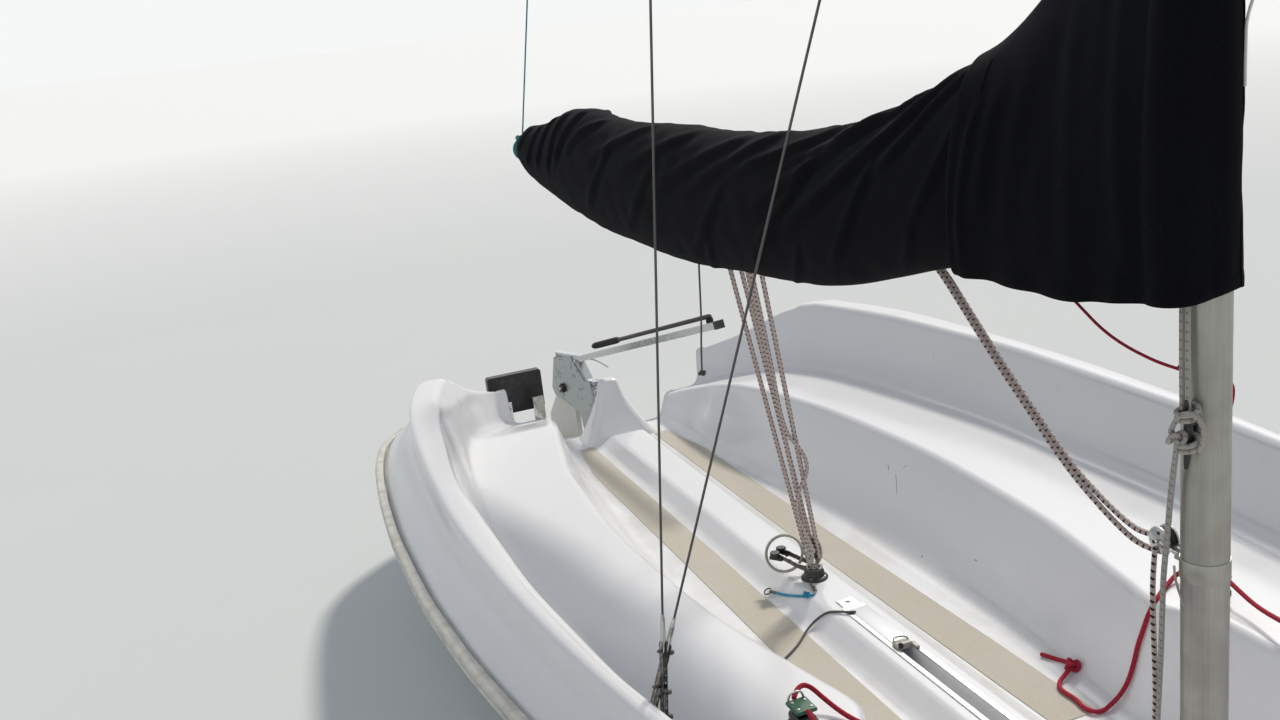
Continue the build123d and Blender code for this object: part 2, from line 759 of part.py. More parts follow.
with BuildPart() as rudder_cheeks:
    for side in (1, -1):
        with BuildSketch(rudder_plane.offset(side * (cheek_inner + cheek_thickness / 2))):
            with BuildLine():
                Polyline(*cheek_points, close=True)
            make_face()
            with Locations((-kick_arm, kick_z)):
                Circle(kick_pin_radius + pin_gap, mode=Mode.SUBTRACT)
            with Locations((-153, 369.5), (-154.5, 351)):
                Circle(4, mode=Mode.SUBTRACT)
        extrude(amount=cheek_thickness / 2, both=True)
    # spine and head block between the two cheeks
    for points in (spine_points, head_points):
        with BuildSketch(rudder_plane):
            with BuildLine():
                Polyline(*points, close=True)
            make_face()
        extrude(amount=cheek_inner, both=True)
    # straps that carry the pintles, resting over each gudgeon
    with BuildSketch(rudder_plane):
        for z in gudgeon_heights:
            with Locations((-3, z + 14)):
                Rectangle(28, 12)
    extrude(amount=cheek_inner, both=True)
    add(tiller.part, mode=Mode.SUBTRACT)

with BuildPart() as pintles:
    for z in gudgeon_heights:
        with Locations((pintle[0], 0, z - 14)):
            Cylinder(pintle_radius, 22, align=(Align.CENTER, Align.CENTER, Align.MIN))

with BuildPart() as kick_bolt:
    with Locations(Plane(origin=kick_point, z_dir=abeam)):
        Cylinder(kick_pin_radius, 2 * (cheek_inner + cheek_thickness))
        for side in (1, -1):
            with Locations((0, 0, side * (cheek_inner + cheek_thickness + 7))):
                Cylinder(knob_radius, 14)

with BuildPart() as rudder_blade:
    with BuildSketch(Plane(origin=kick_point, x_dir=ahead, z_dir=abeam * -1)):
        with BuildLine():
            fore = blade_fore
            aft = blade_fore - blade_chord
            low = blade_tip_z - kick_z
            Line((fore, 20), (fore, low + 150))
            ThreePointArc((fore, low + 150), (fore - 46, low + 40), (aft + 70, low))
            ThreePointArc((aft + 70, low), (aft + 14, low + 30), (aft, low + 100))
            Line((aft, low + 100), (aft, -143))
            Line((aft, -143), (-77, -41))
            ThreePointArc((-77, -41), (-62, 40), (0, 74))
            ThreePointArc((0, 74), (46, 56), (fore, 20))
        make_face()
        Circle(kick_pin_radius + pin_gap, mode=Mode.SUBTRACT)
    extrude(amount=blade_thickness / 2, both=True)

# Tiller extension, folded back on top of the tiller
extension_lift = tiller_half + extension_radius + 14
extension_fore = tiller_end - tiller_way * 60 + tiller_up * extension_lift
extension_aft = extension_fore - tiller_way * extension_length
with BuildPart() as tiller_joint:
    with Locations(Plane(origin=extension_fore - tiller_up * extension_radius, x_dir=abeam, z_dir=tiller_up)):
        Cylinder(11, extension_lift - tiller_half - extension_radius, align=(Align.CENTER, Align.CENTER, Align.MAX))

with BuildPart() as tiller_extension:
    rod(tuple(extension_fore + tiller_way * 12), tuple(extension_aft), extension_radius)
    rod(tuple(extension_aft + tiller_way * 190), tuple(extension_aft - tiller_way * 6), extension_radius + 5)

# Mainsheet on the console: swivel base, cam arm with its ring and ratchet block
sheet_foot = at(sheet_station, 0, console_z)
with BuildPart() as mainsheet_base:
    with Locations(sheet_foot):
        Cylinder(36, 8, align=(Align.CENTER, Align.CENTER, Align.MIN))
        Cylinder(15, 26, align=(Align.CENTER, Align.CENTER, Align.MIN))

arm_way = Vector(math.cos(math.radians(arm_bearing)), math.sin(math.radians(arm_bearing)), 0)
arm_side = Vector(-arm_way.Y, arm_way.X, 0)
with BuildPart() as mainsheet_arm:
    with Locations(Plane(origin=Vector(*sheet_foot) + Vector(0, 0, 26), x_dir=arm_way, z_dir=(0, 0, 1))):
        Cylinder(24, 5, align=(Align.CENTER, Align.CENTER, Align.MIN))
        for side in (-1, 1):
            with Locations((58, side * 15, 0)):
                Box(104, 4, 14, align=(Align.CENTER, Align.CENTER, Align.MIN))
        with Locations((102, 0, 0)):
            Box(30, 38, 26, align=(Align.CENTER, Align.CENTER, Align.MIN))
    with Locations(Plane(origin=Vector(*sheet_foot) + arm_way * 112 + Vector(0, 0, 46), x_dir=arm_side, z_dir=ring_axis)):
        Torus(36, 3)

with BuildPart() as ratchet_block:
    with Locations(at(sheet_station, 0, console_z + 31)):
        Box(20, 16, 22, align=(Align.CENTER, Align.CENTER, Align.MIN))
        with Locations((0, 0, 50)):
            Cylinder(29, 12, rotation=(90, 0, 0))
            for side in (-1, 1):
                with Locations((0, side * 11, 0)):
                    Cylinder(33, 5, rotation=(90, 0, 0))
                with Locations((0, side * 11, -26)):
                    Box(22, 5, 40)
            Cylinder(5, 28, rotation=(90, 0, 0))

# Vang block and tang low on the mast
with BuildPart() as vang_tang:
    with Locations(at(pedestal_station, 0, vang_z)):
        Cylinder(mast_radius + 4, 34)
        with Locations((-mast_radius - 14, 0, 0)):
            Box(28, 5, 22)
        Cylinder(mast_radius + seat_gap, 60, mode=Mode.SUBTRACT)

with BuildPart() as vang_block:
    with Locations(at(pedestal_station - mast_radius - 52, 0, vang_z + 14)):
        for side in (-1, 1):
            with Locations((0, side * 10, 0)):
                Cylinder(24, 4, rotation=(90, 0, 0))
        Cylinder(19, 16, rotation=(90, 0, 0))
        with Locations((26, 0, -11)):
            Box(30, 16 + seat_gap, 22)
    with Locations(at(pedestal_station - mast_radius - 14, 0, vang_z)):
        Box(28 + 2 * seat_gap, 5 + 2 * seat_gap, 23, mode=Mode.SUBTRACT)

# Horn cleats on both sides of the mast
with BuildPart() as mast_cleats:
    for hand in (1, -1):
        with Locations(at(pedestal_station, hand * mast_radius, cleat_z)):
            with Locations((0, hand * 9, 0)):
                Box(14, 18 + 2, 44)
            with Locations((0, hand * 21, 0)):
                Box(12, 10, 108)
    with Locations(at(pedestal_station, 0, cleat_z)):
        Cylinder(mast_radius + seat_gap, 200, mode=Mode.SUBTRACT)

# Jib sheet cam cleats on the seats, with their fairlead tops
with BuildPart() as jib_cleat_bases:
    for hand in (1, -1):
        with Locations(at(jib_cleat_station, hand * jib_cleat_y, seat_z)):
            Cylinder(31, 12, align=(Align.CENTER, Align.CENTER, Align.MIN))
            Box(46, 40, 28, align=(Align.CENTER, Align.CENTER, Align.MIN))

with BuildPart() as jib_cleat_tops:
    for hand in (1, -1):
        with Locations(at(jib_cleat_station, hand * jib_cleat_y, seat_z + 28)):
            Box(50, 44, 9, align=(Align.CENTER, Align.CENTER, Align.MIN))

# Outboard motor pad on the starboard side of the transom
with BuildPart() as motor_pad:
    with Locations(at(motor_pad_station, motor_pad_y, motor_pad_z)):
        Box(32, 210, 150)
    fillet(motor_pad.edges().filter_by(Axis.X), 10)

with BuildPart() as motor_bracket:
    for side in (-1, 1):
        with Locations((transom_x, motor_pad_y + side * 62, motor_foot_z)):
            Box(6, 42, 90, align=(Align.MAX, Align.CENTER, Align.CENTER))
            Box(-motor_pad_station - 16, 8, 44, align=(Align.MAX, Align.CENTER, Align.CENTER))

pieces = {
    "hull_moulding": hull_moulding,
    "deck_moulding": deck_moulding,
    "rub_rail": rub_rail,
    "floor_strips": floor_strips,
    "slot_trim": slot_trim,
    "centreboard": centreboard,
    "board_pin": board_pin,
    "mast_step": mast_step,
    "mast": mast,
    "masthead": masthead,
    "spreaders": spreaders,
    "chainplates": chainplates,
    "shroud_adjusters": shroud_adjusters,
    "cap_shrouds": cap_shrouds,
    "lower_shrouds": lower_shrouds,
    "mast_tangs": mast_tangs,
    "stem_fitting": stem_fitting,
    "furler": furler,
    "furled_jib": furled_jib,
    "forestay": forestay,
    "gooseneck_bracket": gooseneck_bracket,
    "gooseneck_toggle": gooseneck_toggle,
    "boom": boom,
    "boom_end_cap": boom_end_cap,
    "sail_cover": sail_cover,
    "cover_boot": cover_boot,
    "gudgeons": gudgeons,
    "rudder_cheeks": rudder_cheeks,
    "pintles": pintles,
    "kick_bolt": kick_bolt,
    "rudder_blade": rudder_blade,
    "tiller": tiller,
    "tiller_end_cap": tiller_end_cap,
    "tiller_joint": tiller_joint,
    "tiller_extension": tiller_extension,
    "mainsheet_base": mainsheet_base,
    "mainsheet_arm": mainsheet_arm,
    "ratchet_block": ratchet_block,
    "vang_tang": vang_tang,
    "vang_block": vang_block,
    "mast_cleats": mast_cleats,
    "jib_cleat_bases": jib_cleat_bases,
    "jib_cleat_tops": jib_cleat_tops,
    "motor_pad": motor_pad,
    "motor_bracket": motor_bracket,
}
for label, piece in pieces.items():
    piece.part.label = label
    export_step(piece.part, f"parts/{label}.step")
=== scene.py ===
import math

import bmesh
import bpy
import numpy as np
from mathutils import Matrix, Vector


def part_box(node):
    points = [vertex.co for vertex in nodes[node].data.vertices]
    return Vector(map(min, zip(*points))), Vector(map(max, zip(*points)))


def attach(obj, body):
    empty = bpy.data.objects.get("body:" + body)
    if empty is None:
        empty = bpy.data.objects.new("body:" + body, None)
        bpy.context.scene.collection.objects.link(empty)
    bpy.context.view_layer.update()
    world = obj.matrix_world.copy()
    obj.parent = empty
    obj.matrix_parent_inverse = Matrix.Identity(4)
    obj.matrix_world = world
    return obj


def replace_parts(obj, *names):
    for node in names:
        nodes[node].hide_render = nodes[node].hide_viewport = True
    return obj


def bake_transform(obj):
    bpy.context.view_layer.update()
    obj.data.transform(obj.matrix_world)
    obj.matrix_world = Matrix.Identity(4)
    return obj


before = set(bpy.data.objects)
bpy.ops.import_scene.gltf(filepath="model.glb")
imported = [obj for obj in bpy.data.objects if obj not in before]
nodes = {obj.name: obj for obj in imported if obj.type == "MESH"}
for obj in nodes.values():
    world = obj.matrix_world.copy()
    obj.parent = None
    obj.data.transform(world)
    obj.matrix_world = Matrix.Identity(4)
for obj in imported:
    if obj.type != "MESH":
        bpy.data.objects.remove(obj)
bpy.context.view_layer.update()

# The dinghy lies with X forward, Y to port and Z up from the waterline, in metres.
# A station is the distance forward of the transom.
TRANSOM_X = -2.200
# What a node that mixes two colours needs beside its inputs
COLOUR_MIX = {"out": 2, "data_type": "RGBA"}


# Small tools


def linear(code):
    """An sRGB hex colour as linear red, green, blue and alpha."""
    parts = [int(code[i : i + 2], 16) / 255 for i in (1, 3, 5)]
    return tuple(p / 12.92 if p <= 0.04045 else ((p + 0.055) / 1.055) ** 2.4 for p in parts) + (1.0,)


def add(tree, kind, inputs=(), out=0, **settings):
    """One shader node with its settings and links. Inputs maps a socket's name or number to a value, a hex
    colour or another node's output; out says which output, or slice of outputs, is handed back."""
    made = tree.nodes.new("ShaderNode" + kind)
    for name, value in settings.items():
        setattr(made, name, value)
    for name, value in dict(inputs).items():
        if isinstance(value, bpy.types.NodeSocket):
            tree.links.new(value, made.inputs[name])
        else:
            made.inputs[name].default_value = linear(value) if isinstance(value, str) else value
    return made.outputs[out] if len(made.outputs) else None


def new_material(name):
    """An empty material and its node tree."""
    material = bpy.data.materials.new(name)
    material.use_nodes = True
    material.node_tree.nodes.clear()
    return material, material.node_tree


def shaded(material, **sockets):
    """The material with its Principled shader, whose sockets get these values and links."""
    body = add(material.node_tree, "BsdfPrincipled", {k.replace("_", " "): v for k, v in sockets.items()})
    add(material.node_tree, "OutputMaterial", {"Surface": body})
    return material


def curve_through(xs, ys, x):
    """Smooth curve through the points with no overshoot: cubic pieces whose slope at each point is the
    harmonic mean of the two neighbouring slopes, or nought where they differ in sign."""
    xs, ys, x = np.asarray(xs, float), np.asarray(ys, float), np.asarray(x, float)
    run = np.diff(xs)
    rise = np.diff(ys) / run
    slope = np.zeros_like(xs)
    same = rise[:-1] * rise[1:] > 0
    mean = 2 * rise[:-1] * rise[1:] / np.where(same, rise[:-1] + rise[1:], 1.0)
    slope[1:-1] = np.where(same, mean, 0.0)
    slope[0], slope[-1] = rise[0], rise[-1]
    i = np.clip(np.searchsorted(xs, x) - 1, 0, len(xs) - 2)
    t = np.clip((x - xs[i]) / run[i], 0, 1)
    h = run[i]
    keep = (1 + 2 * t) * (1 - t) ** 2 * ys[i] + t * (1 - t) ** 2 * h * slope[i]
    return keep + t * t * (3 - 2 * t) * ys[i + 1] + t * t * (t - 1) * h * slope[i + 1]


def ease(t):
    """A smooth step from 0 to 1: 3 t squared less 2 t cubed."""
    t = np.clip(t, 0, 1)
    return t * t * (3 - 2 * t)


def grid_faces(rows, columns, closed=False):
    """Four-cornered faces of a grid of points, row by row, each row closed into a ring or left open."""
    r, c = np.meshgrid(np.arange(rows - 1), np.arange(columns if closed else columns - 1), indexing="ij")
    c2 = (c + 1) % columns
    corners = np.stack([r * columns + c, r * columns + c2, (r + 1) * columns + c2, (r + 1) * columns + c], -1)
    return corners.reshape(-1, 4)


def skin_faces(rows, columns):
    """Faces of a skin over rings of points, with the first and last ring filled."""
    first = list(range(columns))
    last = [(rows - 1) * columns + i for i in first]
    return grid_faces(rows, columns, closed=True).tolist() + [first, last]


def shown(name, mesh, material, body, smooth=True):
    """A mesh as an object of that material, riding on a body."""
    mesh.polygons.foreach_set("use_smooth", [smooth] * len(mesh.polygons))
    mesh.materials.append(material)
    piece = bpy.data.objects.new(name, mesh)
    bpy.context.scene.collection.objects.link(piece)
    if body:
        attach(piece, body)
    return piece


def make_piece(name, points, faces, material, body, smooth=True, merge=0.0, sharp=None):
    """A mesh object at the origin, with its place in its mesh, riding on a body. Doubles closer than merge
    are joined, and the faces are turned outwards."""
    mesh = bpy.data.meshes.new(name)
    mesh.from_pydata(np.asarray(points, float).reshape(-1, 3), [], [list(map(int, face)) for face in faces])
    shape = bmesh.new()
    shape.from_mesh(mesh)
    if merge:
        bmesh.ops.remove_doubles(shape, verts=shape.verts, dist=merge)
        bmesh.ops.dissolve_degenerate(shape, edges=shape.edges, dist=1e-6)
    bmesh.ops.recalc_face_normals(shape, faces=shape.faces)
    shape.to_mesh(mesh)
    shape.free()
    piece = shown(name, mesh, material, body, smooth)
    if sharp:
        mesh.set_sharp_from_angle(angle=math.radians(sharp))
    return piece


def settled(piece):
    """The piece's modifiers applied to its mesh."""
    bpy.context.view_layer.update()
    mesh = bpy.data.meshes.new_from_object(piece.evaluated_get(bpy.context.evaluated_depsgraph_get()))
    piece.modifiers.clear()
    piece.data = mesh


def thickened(piece, thickness):
    """The piece's sheet mesh with a wall of that thickness, half on either side."""
    wall = piece.modifiers.new("wall", "SOLIDIFY")
    wall.thickness = thickness
    wall.offset = 0


def joined(parts):
    """Several (points, faces) as one."""
    points, faces, start = [], [], 0
    for p, f in parts:
        p = np.asarray(p, float).reshape(-1, 3)
        points.append(p)
        faces.extend([[int(i) + start for i in face] for face in f])
        start += len(p)
    return np.vstack(points), faces


def moved(shape, *shift):
    """A (points, faces) moved by one or more shifts."""
    return shape[0] + sum(np.asarray(s, float) for s in shift), shape[1]


def placed(shape, origin, x_axis, z_axis):
    """A (points, faces) turned so that its own x and z lie along the two axes, and moved to the origin."""
    z = np.asarray(z_axis, float) / np.linalg.norm(z_axis)
    x = np.asarray(x_axis, float)
    x = x - z * (x @ z)
    x = x / np.linalg.norm(x)
    p = np.asarray(shape[0], float)
    return np.asarray(origin, float) + p @ np.stack([x, np.cross(z, x), z]), shape[1]


def turned(profile, sides=32):
    """A profile of (radius, height) pairs turned about z; ends with radius 0 close it."""
    r, z = np.asarray(profile, float).T
    a = np.linspace(0, 2 * np.pi, sides, endpoint=False)
    points = np.stack([np.outer(r, np.cos(a)), np.outer(r, np.sin(a)), np.outer(z, np.ones(sides))], -1)
    return points.reshape(-1, 3), grid_faces(len(r), sides, closed=True)


def disc(radius, low, high, edge=0.002, sides=12):
    """A disc about z from low to high, with rounded rims."""
    e = min(edge, (high - low) / 2, radius / 2)
    a = np.linspace(0, np.pi / 2, 4)
    lower = [(radius - e + e * math.sin(t), low + e - e * math.cos(t)) for t in a]
    upper = [(radius - e + e * math.cos(t), high - e + e * math.sin(t)) for t in a]
    return turned([(0, low), *lower, *upper, (0, high)], sides)


def stacked(outline, levels):
    """A solid from one outline at several levels, each (share of its size, height)."""
    points = np.concatenate([np.column_stack([outline * k, np.full(len(outline), z)]) for k, z in levels])
    return points, skin_faces(len(levels), len(outline))


def rounded_square(half_x, half_y, radius, steps):
    """The outline of a rectangle about the origin with rounded corners, steps points to a corner."""
    turn = np.concatenate([np.linspace(0, np.pi / 2, steps) + k * np.pi / 2 for k in range(4)])
    way = np.repeat([(1, 1), (-1, 1), (-1, -1), (1, -1)], steps, axis=0)
    return way * (half_x - radius, half_y - radius) + radius * np.stack([np.cos(turn), np.sin(turn)], -1)


def block_shape(size, edge=0.002, steps=3):
    """A box of that size about the origin with rounded edges: a rounded square outline carried up, drawn in
    towards the foot and head by the same radius."""
    sx, sy, sz = (s / 2 for s in size)
    e = min(edge, sx, sy, sz)
    a = np.linspace(0, np.pi / 2, steps)
    rise = np.concatenate([-sz + e - e * np.cos(a), sz - e + e * np.sin(a)])
    draw = np.concatenate([e - e * np.sin(a), e - e * np.cos(a)])
    points = []
    for z, d in zip(rise, draw):
        ring = rounded_square(sx - d, sy - d, max(e - d, 1e-5), steps)
        points.append(np.column_stack([ring, np.full(len(ring), z)]))
    return np.concatenate(points), skin_faces(len(rise), 4 * steps)


def path_frames(path):
    """Unit tangents of a path and two normals that turn as little as they can along it."""
    way = np.gradient(path, axis=0)
    way /= np.linalg.norm(way, axis=1, keepdims=True)
    side = np.zeros_like(way)
    first = np.cross(way[0], (0, 0, 1) if abs(way[0, 2]) < 0.9 else (1, 0, 0))
    side[0] = first / np.linalg.norm(first)
    for i in range(1, len(path)):
        step = side[i - 1] - way[i] * (side[i - 1] @ way[i])
        side[i] = step / np.linalg.norm(step)
    return way, side, np.cross(way, side)


def spline_points(points, resolution=12):
    """The points of a smooth NURBS line that has these control points."""
    curve = bpy.data.curves.new("route", "CURVE")
    curve.dimensions = "3D"
    curve.resolution_u = resolution
    line = curve.splines.new("NURBS")
    line.points.add(len(points) - 1)
    for point, place in zip(line.points, points):
        point.co = (*place, 1.0)
    line.order_u = 3
    line.use_endpoint_u = True
    holder = bpy.data.objects.new("route", curve)
    bpy.context.scene.collection.objects.link(holder)
    bpy.context.view_layer.update()
    mesh = bpy.data.meshes.new_from_object(holder.evaluated_get(bpy.context.evaluated_depsgraph_get()))
    out = np.empty(len(mesh.vertices) * 3)
    mesh.vertices.foreach_get("co", out)
    bpy.data.objects.remove(holder)
    bpy.data.meshes.remove(mesh)
    bpy.data.curves.remove(curve)
    return out.reshape(-1, 3)


def tube_run(path, radius, sides=12, domed=True):
    """A round profile carried along a path: its points, its faces, and the path with its ends' domes."""
    path = np.asarray(path, float)
    radius = np.broadcast_to(radius, len(path)).astype(float)
    way, side, up = path_frames(path)
    if domed:
        out = np.array([0.45, 0.8, 0.999])
        draw = np.sqrt(1 - out**2)
        foot = path[0] - way[0] * (out[::-1, None] * radius[0])
        path = np.vstack([foot, path, path[-1] + way[-1] * (out[:, None] * radius[-1])])
        radius = np.concatenate([radius[0] * draw[::-1], radius, radius[-1] * draw])
        side, up = (np.vstack([v[:1]] * 3 + [v] + [v[-1:]] * 3) for v in (side, up))
    a = np.linspace(0, 2 * np.pi, sides, endpoint=False)
    ring = np.cos(a)[None, :, None] * side[:, None] + np.sin(a)[None, :, None] * up[:, None]
    points = path[:, None] + ring * radius[:, None, None]
    faces = skin_faces(len(path), sides) if domed else grid_faces(len(path), sides, closed=True)
    return points.reshape(-1, 3), faces, path


def tube_shape(path, radius, sides=12, domed=True):
    """A tube along a path, of one radius or one for each point, as (points, faces)."""
    return tube_run(path, radius, sides, domed)[:2]


def tube_piece(name, path, diameter, material, body, sides=12):
    """A round tube along a path. Its UV map gives the run in metres and the turn round it, for a braid."""
    shape, faces, full = tube_run(path, diameter / 2, sides)
    piece = make_piece(name, shape, faces, material, body)
    run = np.concatenate([[0], np.cumsum(np.linalg.norm(np.diff(full, axis=0), axis=1))])
    mesh = piece.data
    layer = mesh.uv_layers.new(name="run")
    index = np.empty(len(mesh.loops), int)
    mesh.loops.foreach_get("vertex_index", index)
    uv = np.stack([run[index // sides], (index % sides) / sides], -1)
    for face in mesh.polygons:
        part = slice(face.loop_start, face.loop_start + face.loop_total)
        if uv[part, 1].max() - uv[part, 1].min() > 0.5:
            uv[part, 1] = np.where(uv[part, 1] < 0.5, uv[part, 1] + 1, uv[part, 1])
    layer.data.foreach_set("uv", uv.ravel())
    return piece


def rope(name, points, diameter, material, body, straight=False, sides=12):
    """A rope along the smooth line of its points, or straight from the first to the last."""
    if straight:
        start, end = np.asarray(points[0], float), np.asarray(points[-1], float)
        steps = max(2, int(np.linalg.norm(end - start) / 0.03))
        path = start + (end - start) * np.linspace(0, 1, steps)[:, None]
    else:
        path = spline_points(points)
    return tube_piece(name, path, diameter, material, body, sides), path


# Camera, light and floor

CAMERA_AT = (2.2627, -1.3735, 1.7147)
CAMERA_RIGHT = (0.350935, 0.929557, -0.113001)
CAMERA_DOWN = (0.214194, -0.197163, -0.956686)
CAMERA_FORWARD = (-0.911573, 0.311531, -0.268297)
LENS = 35.77
FRAME_WIDTH = 36.0
SUN_WAY = np.array((0.464, -0.505, -0.731))
SUNWARD = -SUN_WAY / np.linalg.norm(SUN_WAY)
FLOOR_SIZE = 300.0


def stand(thing, place, axes):
    """An object for a camera or lamp, linked, at a place and with the three axes as its own."""
    holder = bpy.data.objects.new(thing.name, thing)
    matrix = np.eye(4)
    matrix[:3, :3] = np.column_stack(axes)
    matrix[:3, 3] = place
    holder.matrix_world = Matrix(matrix.tolist())
    bpy.context.scene.collection.objects.link(holder)
    return holder


def add_camera():
    """The photograph's own standpoint and lens."""
    data = bpy.data.cameras.new("camera")
    data.lens = LENS
    data.sensor_width = FRAME_WIDTH
    data.clip_end = 200.0
    axes = (CAMERA_RIGHT, np.negative(CAMERA_DOWN), np.negative(CAMERA_FORWARD))
    bpy.context.scene.camera = stand(data, CAMERA_AT, axes)


def add_lamp():
    """A soft sun 47 degrees high over the port quarter, as the shadows in the cockpit say."""
    data = bpy.data.lights.new("sun", "SUN")
    data.energy = 2.3
    data.angle = math.radians(7)
    data.color = linear("#FFF8EE")[:3]
    x = np.cross((0, 0, 1), SUNWARD)
    x /= np.linalg.norm(x)
    stand(data, (0, 0, 0), (x, np.cross(SUNWARD, x), SUNWARD))


def add_sky():
    """An even sky that lights softly, white where the camera, a gloss or a clear part sees it, and brighter
    there towards the sun: one, and 3.5 more times the square of a ramp from 37 to 8 degrees off it."""
    world = bpy.data.worlds.new("sky")
    world.use_nodes = True
    tree = world.node_tree
    tree.nodes.clear()
    seen, *others = (add(tree, "LightPath", out=f"Is {ray} Ray")
        for ray in ("Camera", "Glossy", "Transmission"))
    for other in others:
        seen = add(tree, "Math", {0: seen, 1: other}, operation="MAXIMUM")
    way = add(tree, "TexCoord", out="Generated")
    near = add(tree, "VectorMath", {0: way, 1: tuple(SUNWARD)}, out=1, operation="DOT_PRODUCT")
    ramp = add(tree, "MapRange", {0: near, 1: 0.80, 2: 0.99})
    glow = add(tree, "Math", {0: ramp, 1: 2.0}, operation="POWER")
    bright = add(tree, "Math", {0: glow, 1: 3.5, 2: 1.0}, operation="MULTIPLY_ADD")
    dim = add(tree, "Background", {"Color": "#DFE4EB", "Strength": 0.52})
    white = add(tree, "Background", {"Color": "#F6F7F7", "Strength": bright})
    add(tree, "OutputWorld", {"Surface": add(tree, "MixShader", {0: seen, 1: dim, 2: white})})
    bpy.context.scene.world = world


def add_floor():
    """A plain pale floor at the waterline, paling into the background from 7 m out."""
    material, tree = new_material("floor_paint")
    where = add(tree, "TexCoord", out="Object")
    clouds = add(tree, "TexNoise", {"Vector": where, "Scale": 0.8, "Detail": 3.0})
    near = add(tree, "Mix", {0: clouds, 6: "#D6DADB", 7: "#DADDDD"}, **COLOUR_MIX)
    away = add(tree, "VectorMath", {0: where}, out=1, operation="LENGTH")
    paling = add(tree, "MapRange", {0: away, 1: 7.0, 2: 24.0})
    paint = add(tree, "Mix", {0: paling, 6: near, 7: "#FAFBFB"}, **COLOUR_MIX)
    shaded(material, Base_Color=paint, Roughness=0.9, Specular_IOR_Level=0.2)
    corners = [(x * FLOOR_SIZE, y * FLOOR_SIZE, 0) for x, y in ((-1, -1), (1, -1), (1, 1), (-1, 1))]
    make_piece("floor", corners, [[0, 1, 2, 3]], material, None, smooth=False)


bpy.context.scene.view_settings.view_transform = "Standard"
add_camera()
add_lamp()
add_sky()
add_floor()


# Finishes

# Scratches on the port wall of the cockpit and on the coaming: both ends and half the width, in metres
GELCOAT_MARKS = (
    ((-0.867, 0.433, 0.315), (-0.854, 0.428, 0.304), 0.0016),
    ((-0.816, 0.428, 0.300), (-0.781, 0.407, 0.256), 0.0014),
    ((-0.816, 0.430, 0.301), (-0.783, 0.448, 0.337), 0.0011),
    ((-1.178, 0.814, 0.595), (-1.144, 0.787, 0.517), 0.0010),
    ((-0.542, 0.333, 0.168), (-0.545, 0.335, 0.170), 0.0022),
    ((-0.357, 0.379, 0.219), (-0.350, 0.380, 0.219), 0.0020),
)


def scratches(tree, where, table):
    """A mask of thin scratches: each is what lies within its half width of the line between its two ends."""
    total = 0.0
    for start, end, width in table:
        run = np.subtract(end, start)
        length = float(np.linalg.norm(run))
        way = tuple(run / length)
        away = add(tree, "VectorMath", {0: where, 1: start}, operation="SUBTRACT")
        along = add(tree, "VectorMath", {0: away, 1: way}, out=1, operation="DOT_PRODUCT")
        kept = add(tree, "Clamp", {0: along, 1: 0.0, 2: length})
        nearest = add(tree, "VectorMath", {0: way, "Scale": kept}, operation="SCALE")
        gap = add(tree, "VectorMath", {0: away, 1: nearest}, out=1, operation="DISTANCE")
        line = add(tree, "MapRange", {0: gap, 1: width, 2: width * 0.4})
        total = add(tree, "Math", {0: total, 1: line}, operation="MAXIMUM")
    return total


def white_gelcoat():
    """Polyester gelcoat out of a waxed mould: a hard white gloss, scuffed and a little dirty low down."""
    material, tree = new_material("white_gelcoat")
    where = add(tree, "TexCoord", out="Object")
    # noises for the clouding, the dirt's patches, the scuffs, the gloss and the mould's own slow waves
    clouds, patches, scuffs, gloss, slow = (
        add(tree, "TexNoise", {"Vector": where, "Scale": scale, "Detail": detail})
        for scale, detail in ((2.2, 3.0), (9.0, 6.0), (16.0, 9.0), (6.0, 5.0), (8.0, 1.0))
    )
    colour = add(tree, "Mix", {0: clouds, 6: "#ECEDEF", 7: "#E5E6E9"}, **COLOUR_MIX)
    height = add(tree, "SeparateXYZ", {0: where}, out=2)
    low = add(tree, "MapRange", {0: height, 1: 0.17, 2: 0.146})
    dirt = add(tree, "MapRange", {0: patches, 1: 0.42, 2: 0.72, 4: 0.5})
    stain = add(tree, "Math", {0: low, 1: dirt}, operation="MULTIPLY")
    scuffed = add(tree, "MapRange", {0: scuffs, 1: 0.62, 2: 0.78, 4: 0.10})
    scratched = scratches(tree, where, GELCOAT_MARKS)
    for mask, tone in ((stain, "#C9C3B2"), (scuffed, "#BDBBB4"), (scratched, "#5B5A57")):
        colour = add(tree, "Mix", {0: mask, 6: colour, 7: tone}, **COLOUR_MIX)
    rough = add(tree, "MapRange", {0: gloss, 1: 0.3, 2: 0.7, 3: 0.12, 4: 0.21})
    bump = add(tree, "Bump", {"Height": slow, "Distance": 0.00012, "Strength": 1.0})
    return shaded(material, Base_Color=colour, Roughness=rough, IOR=1.5, Normal=bump)


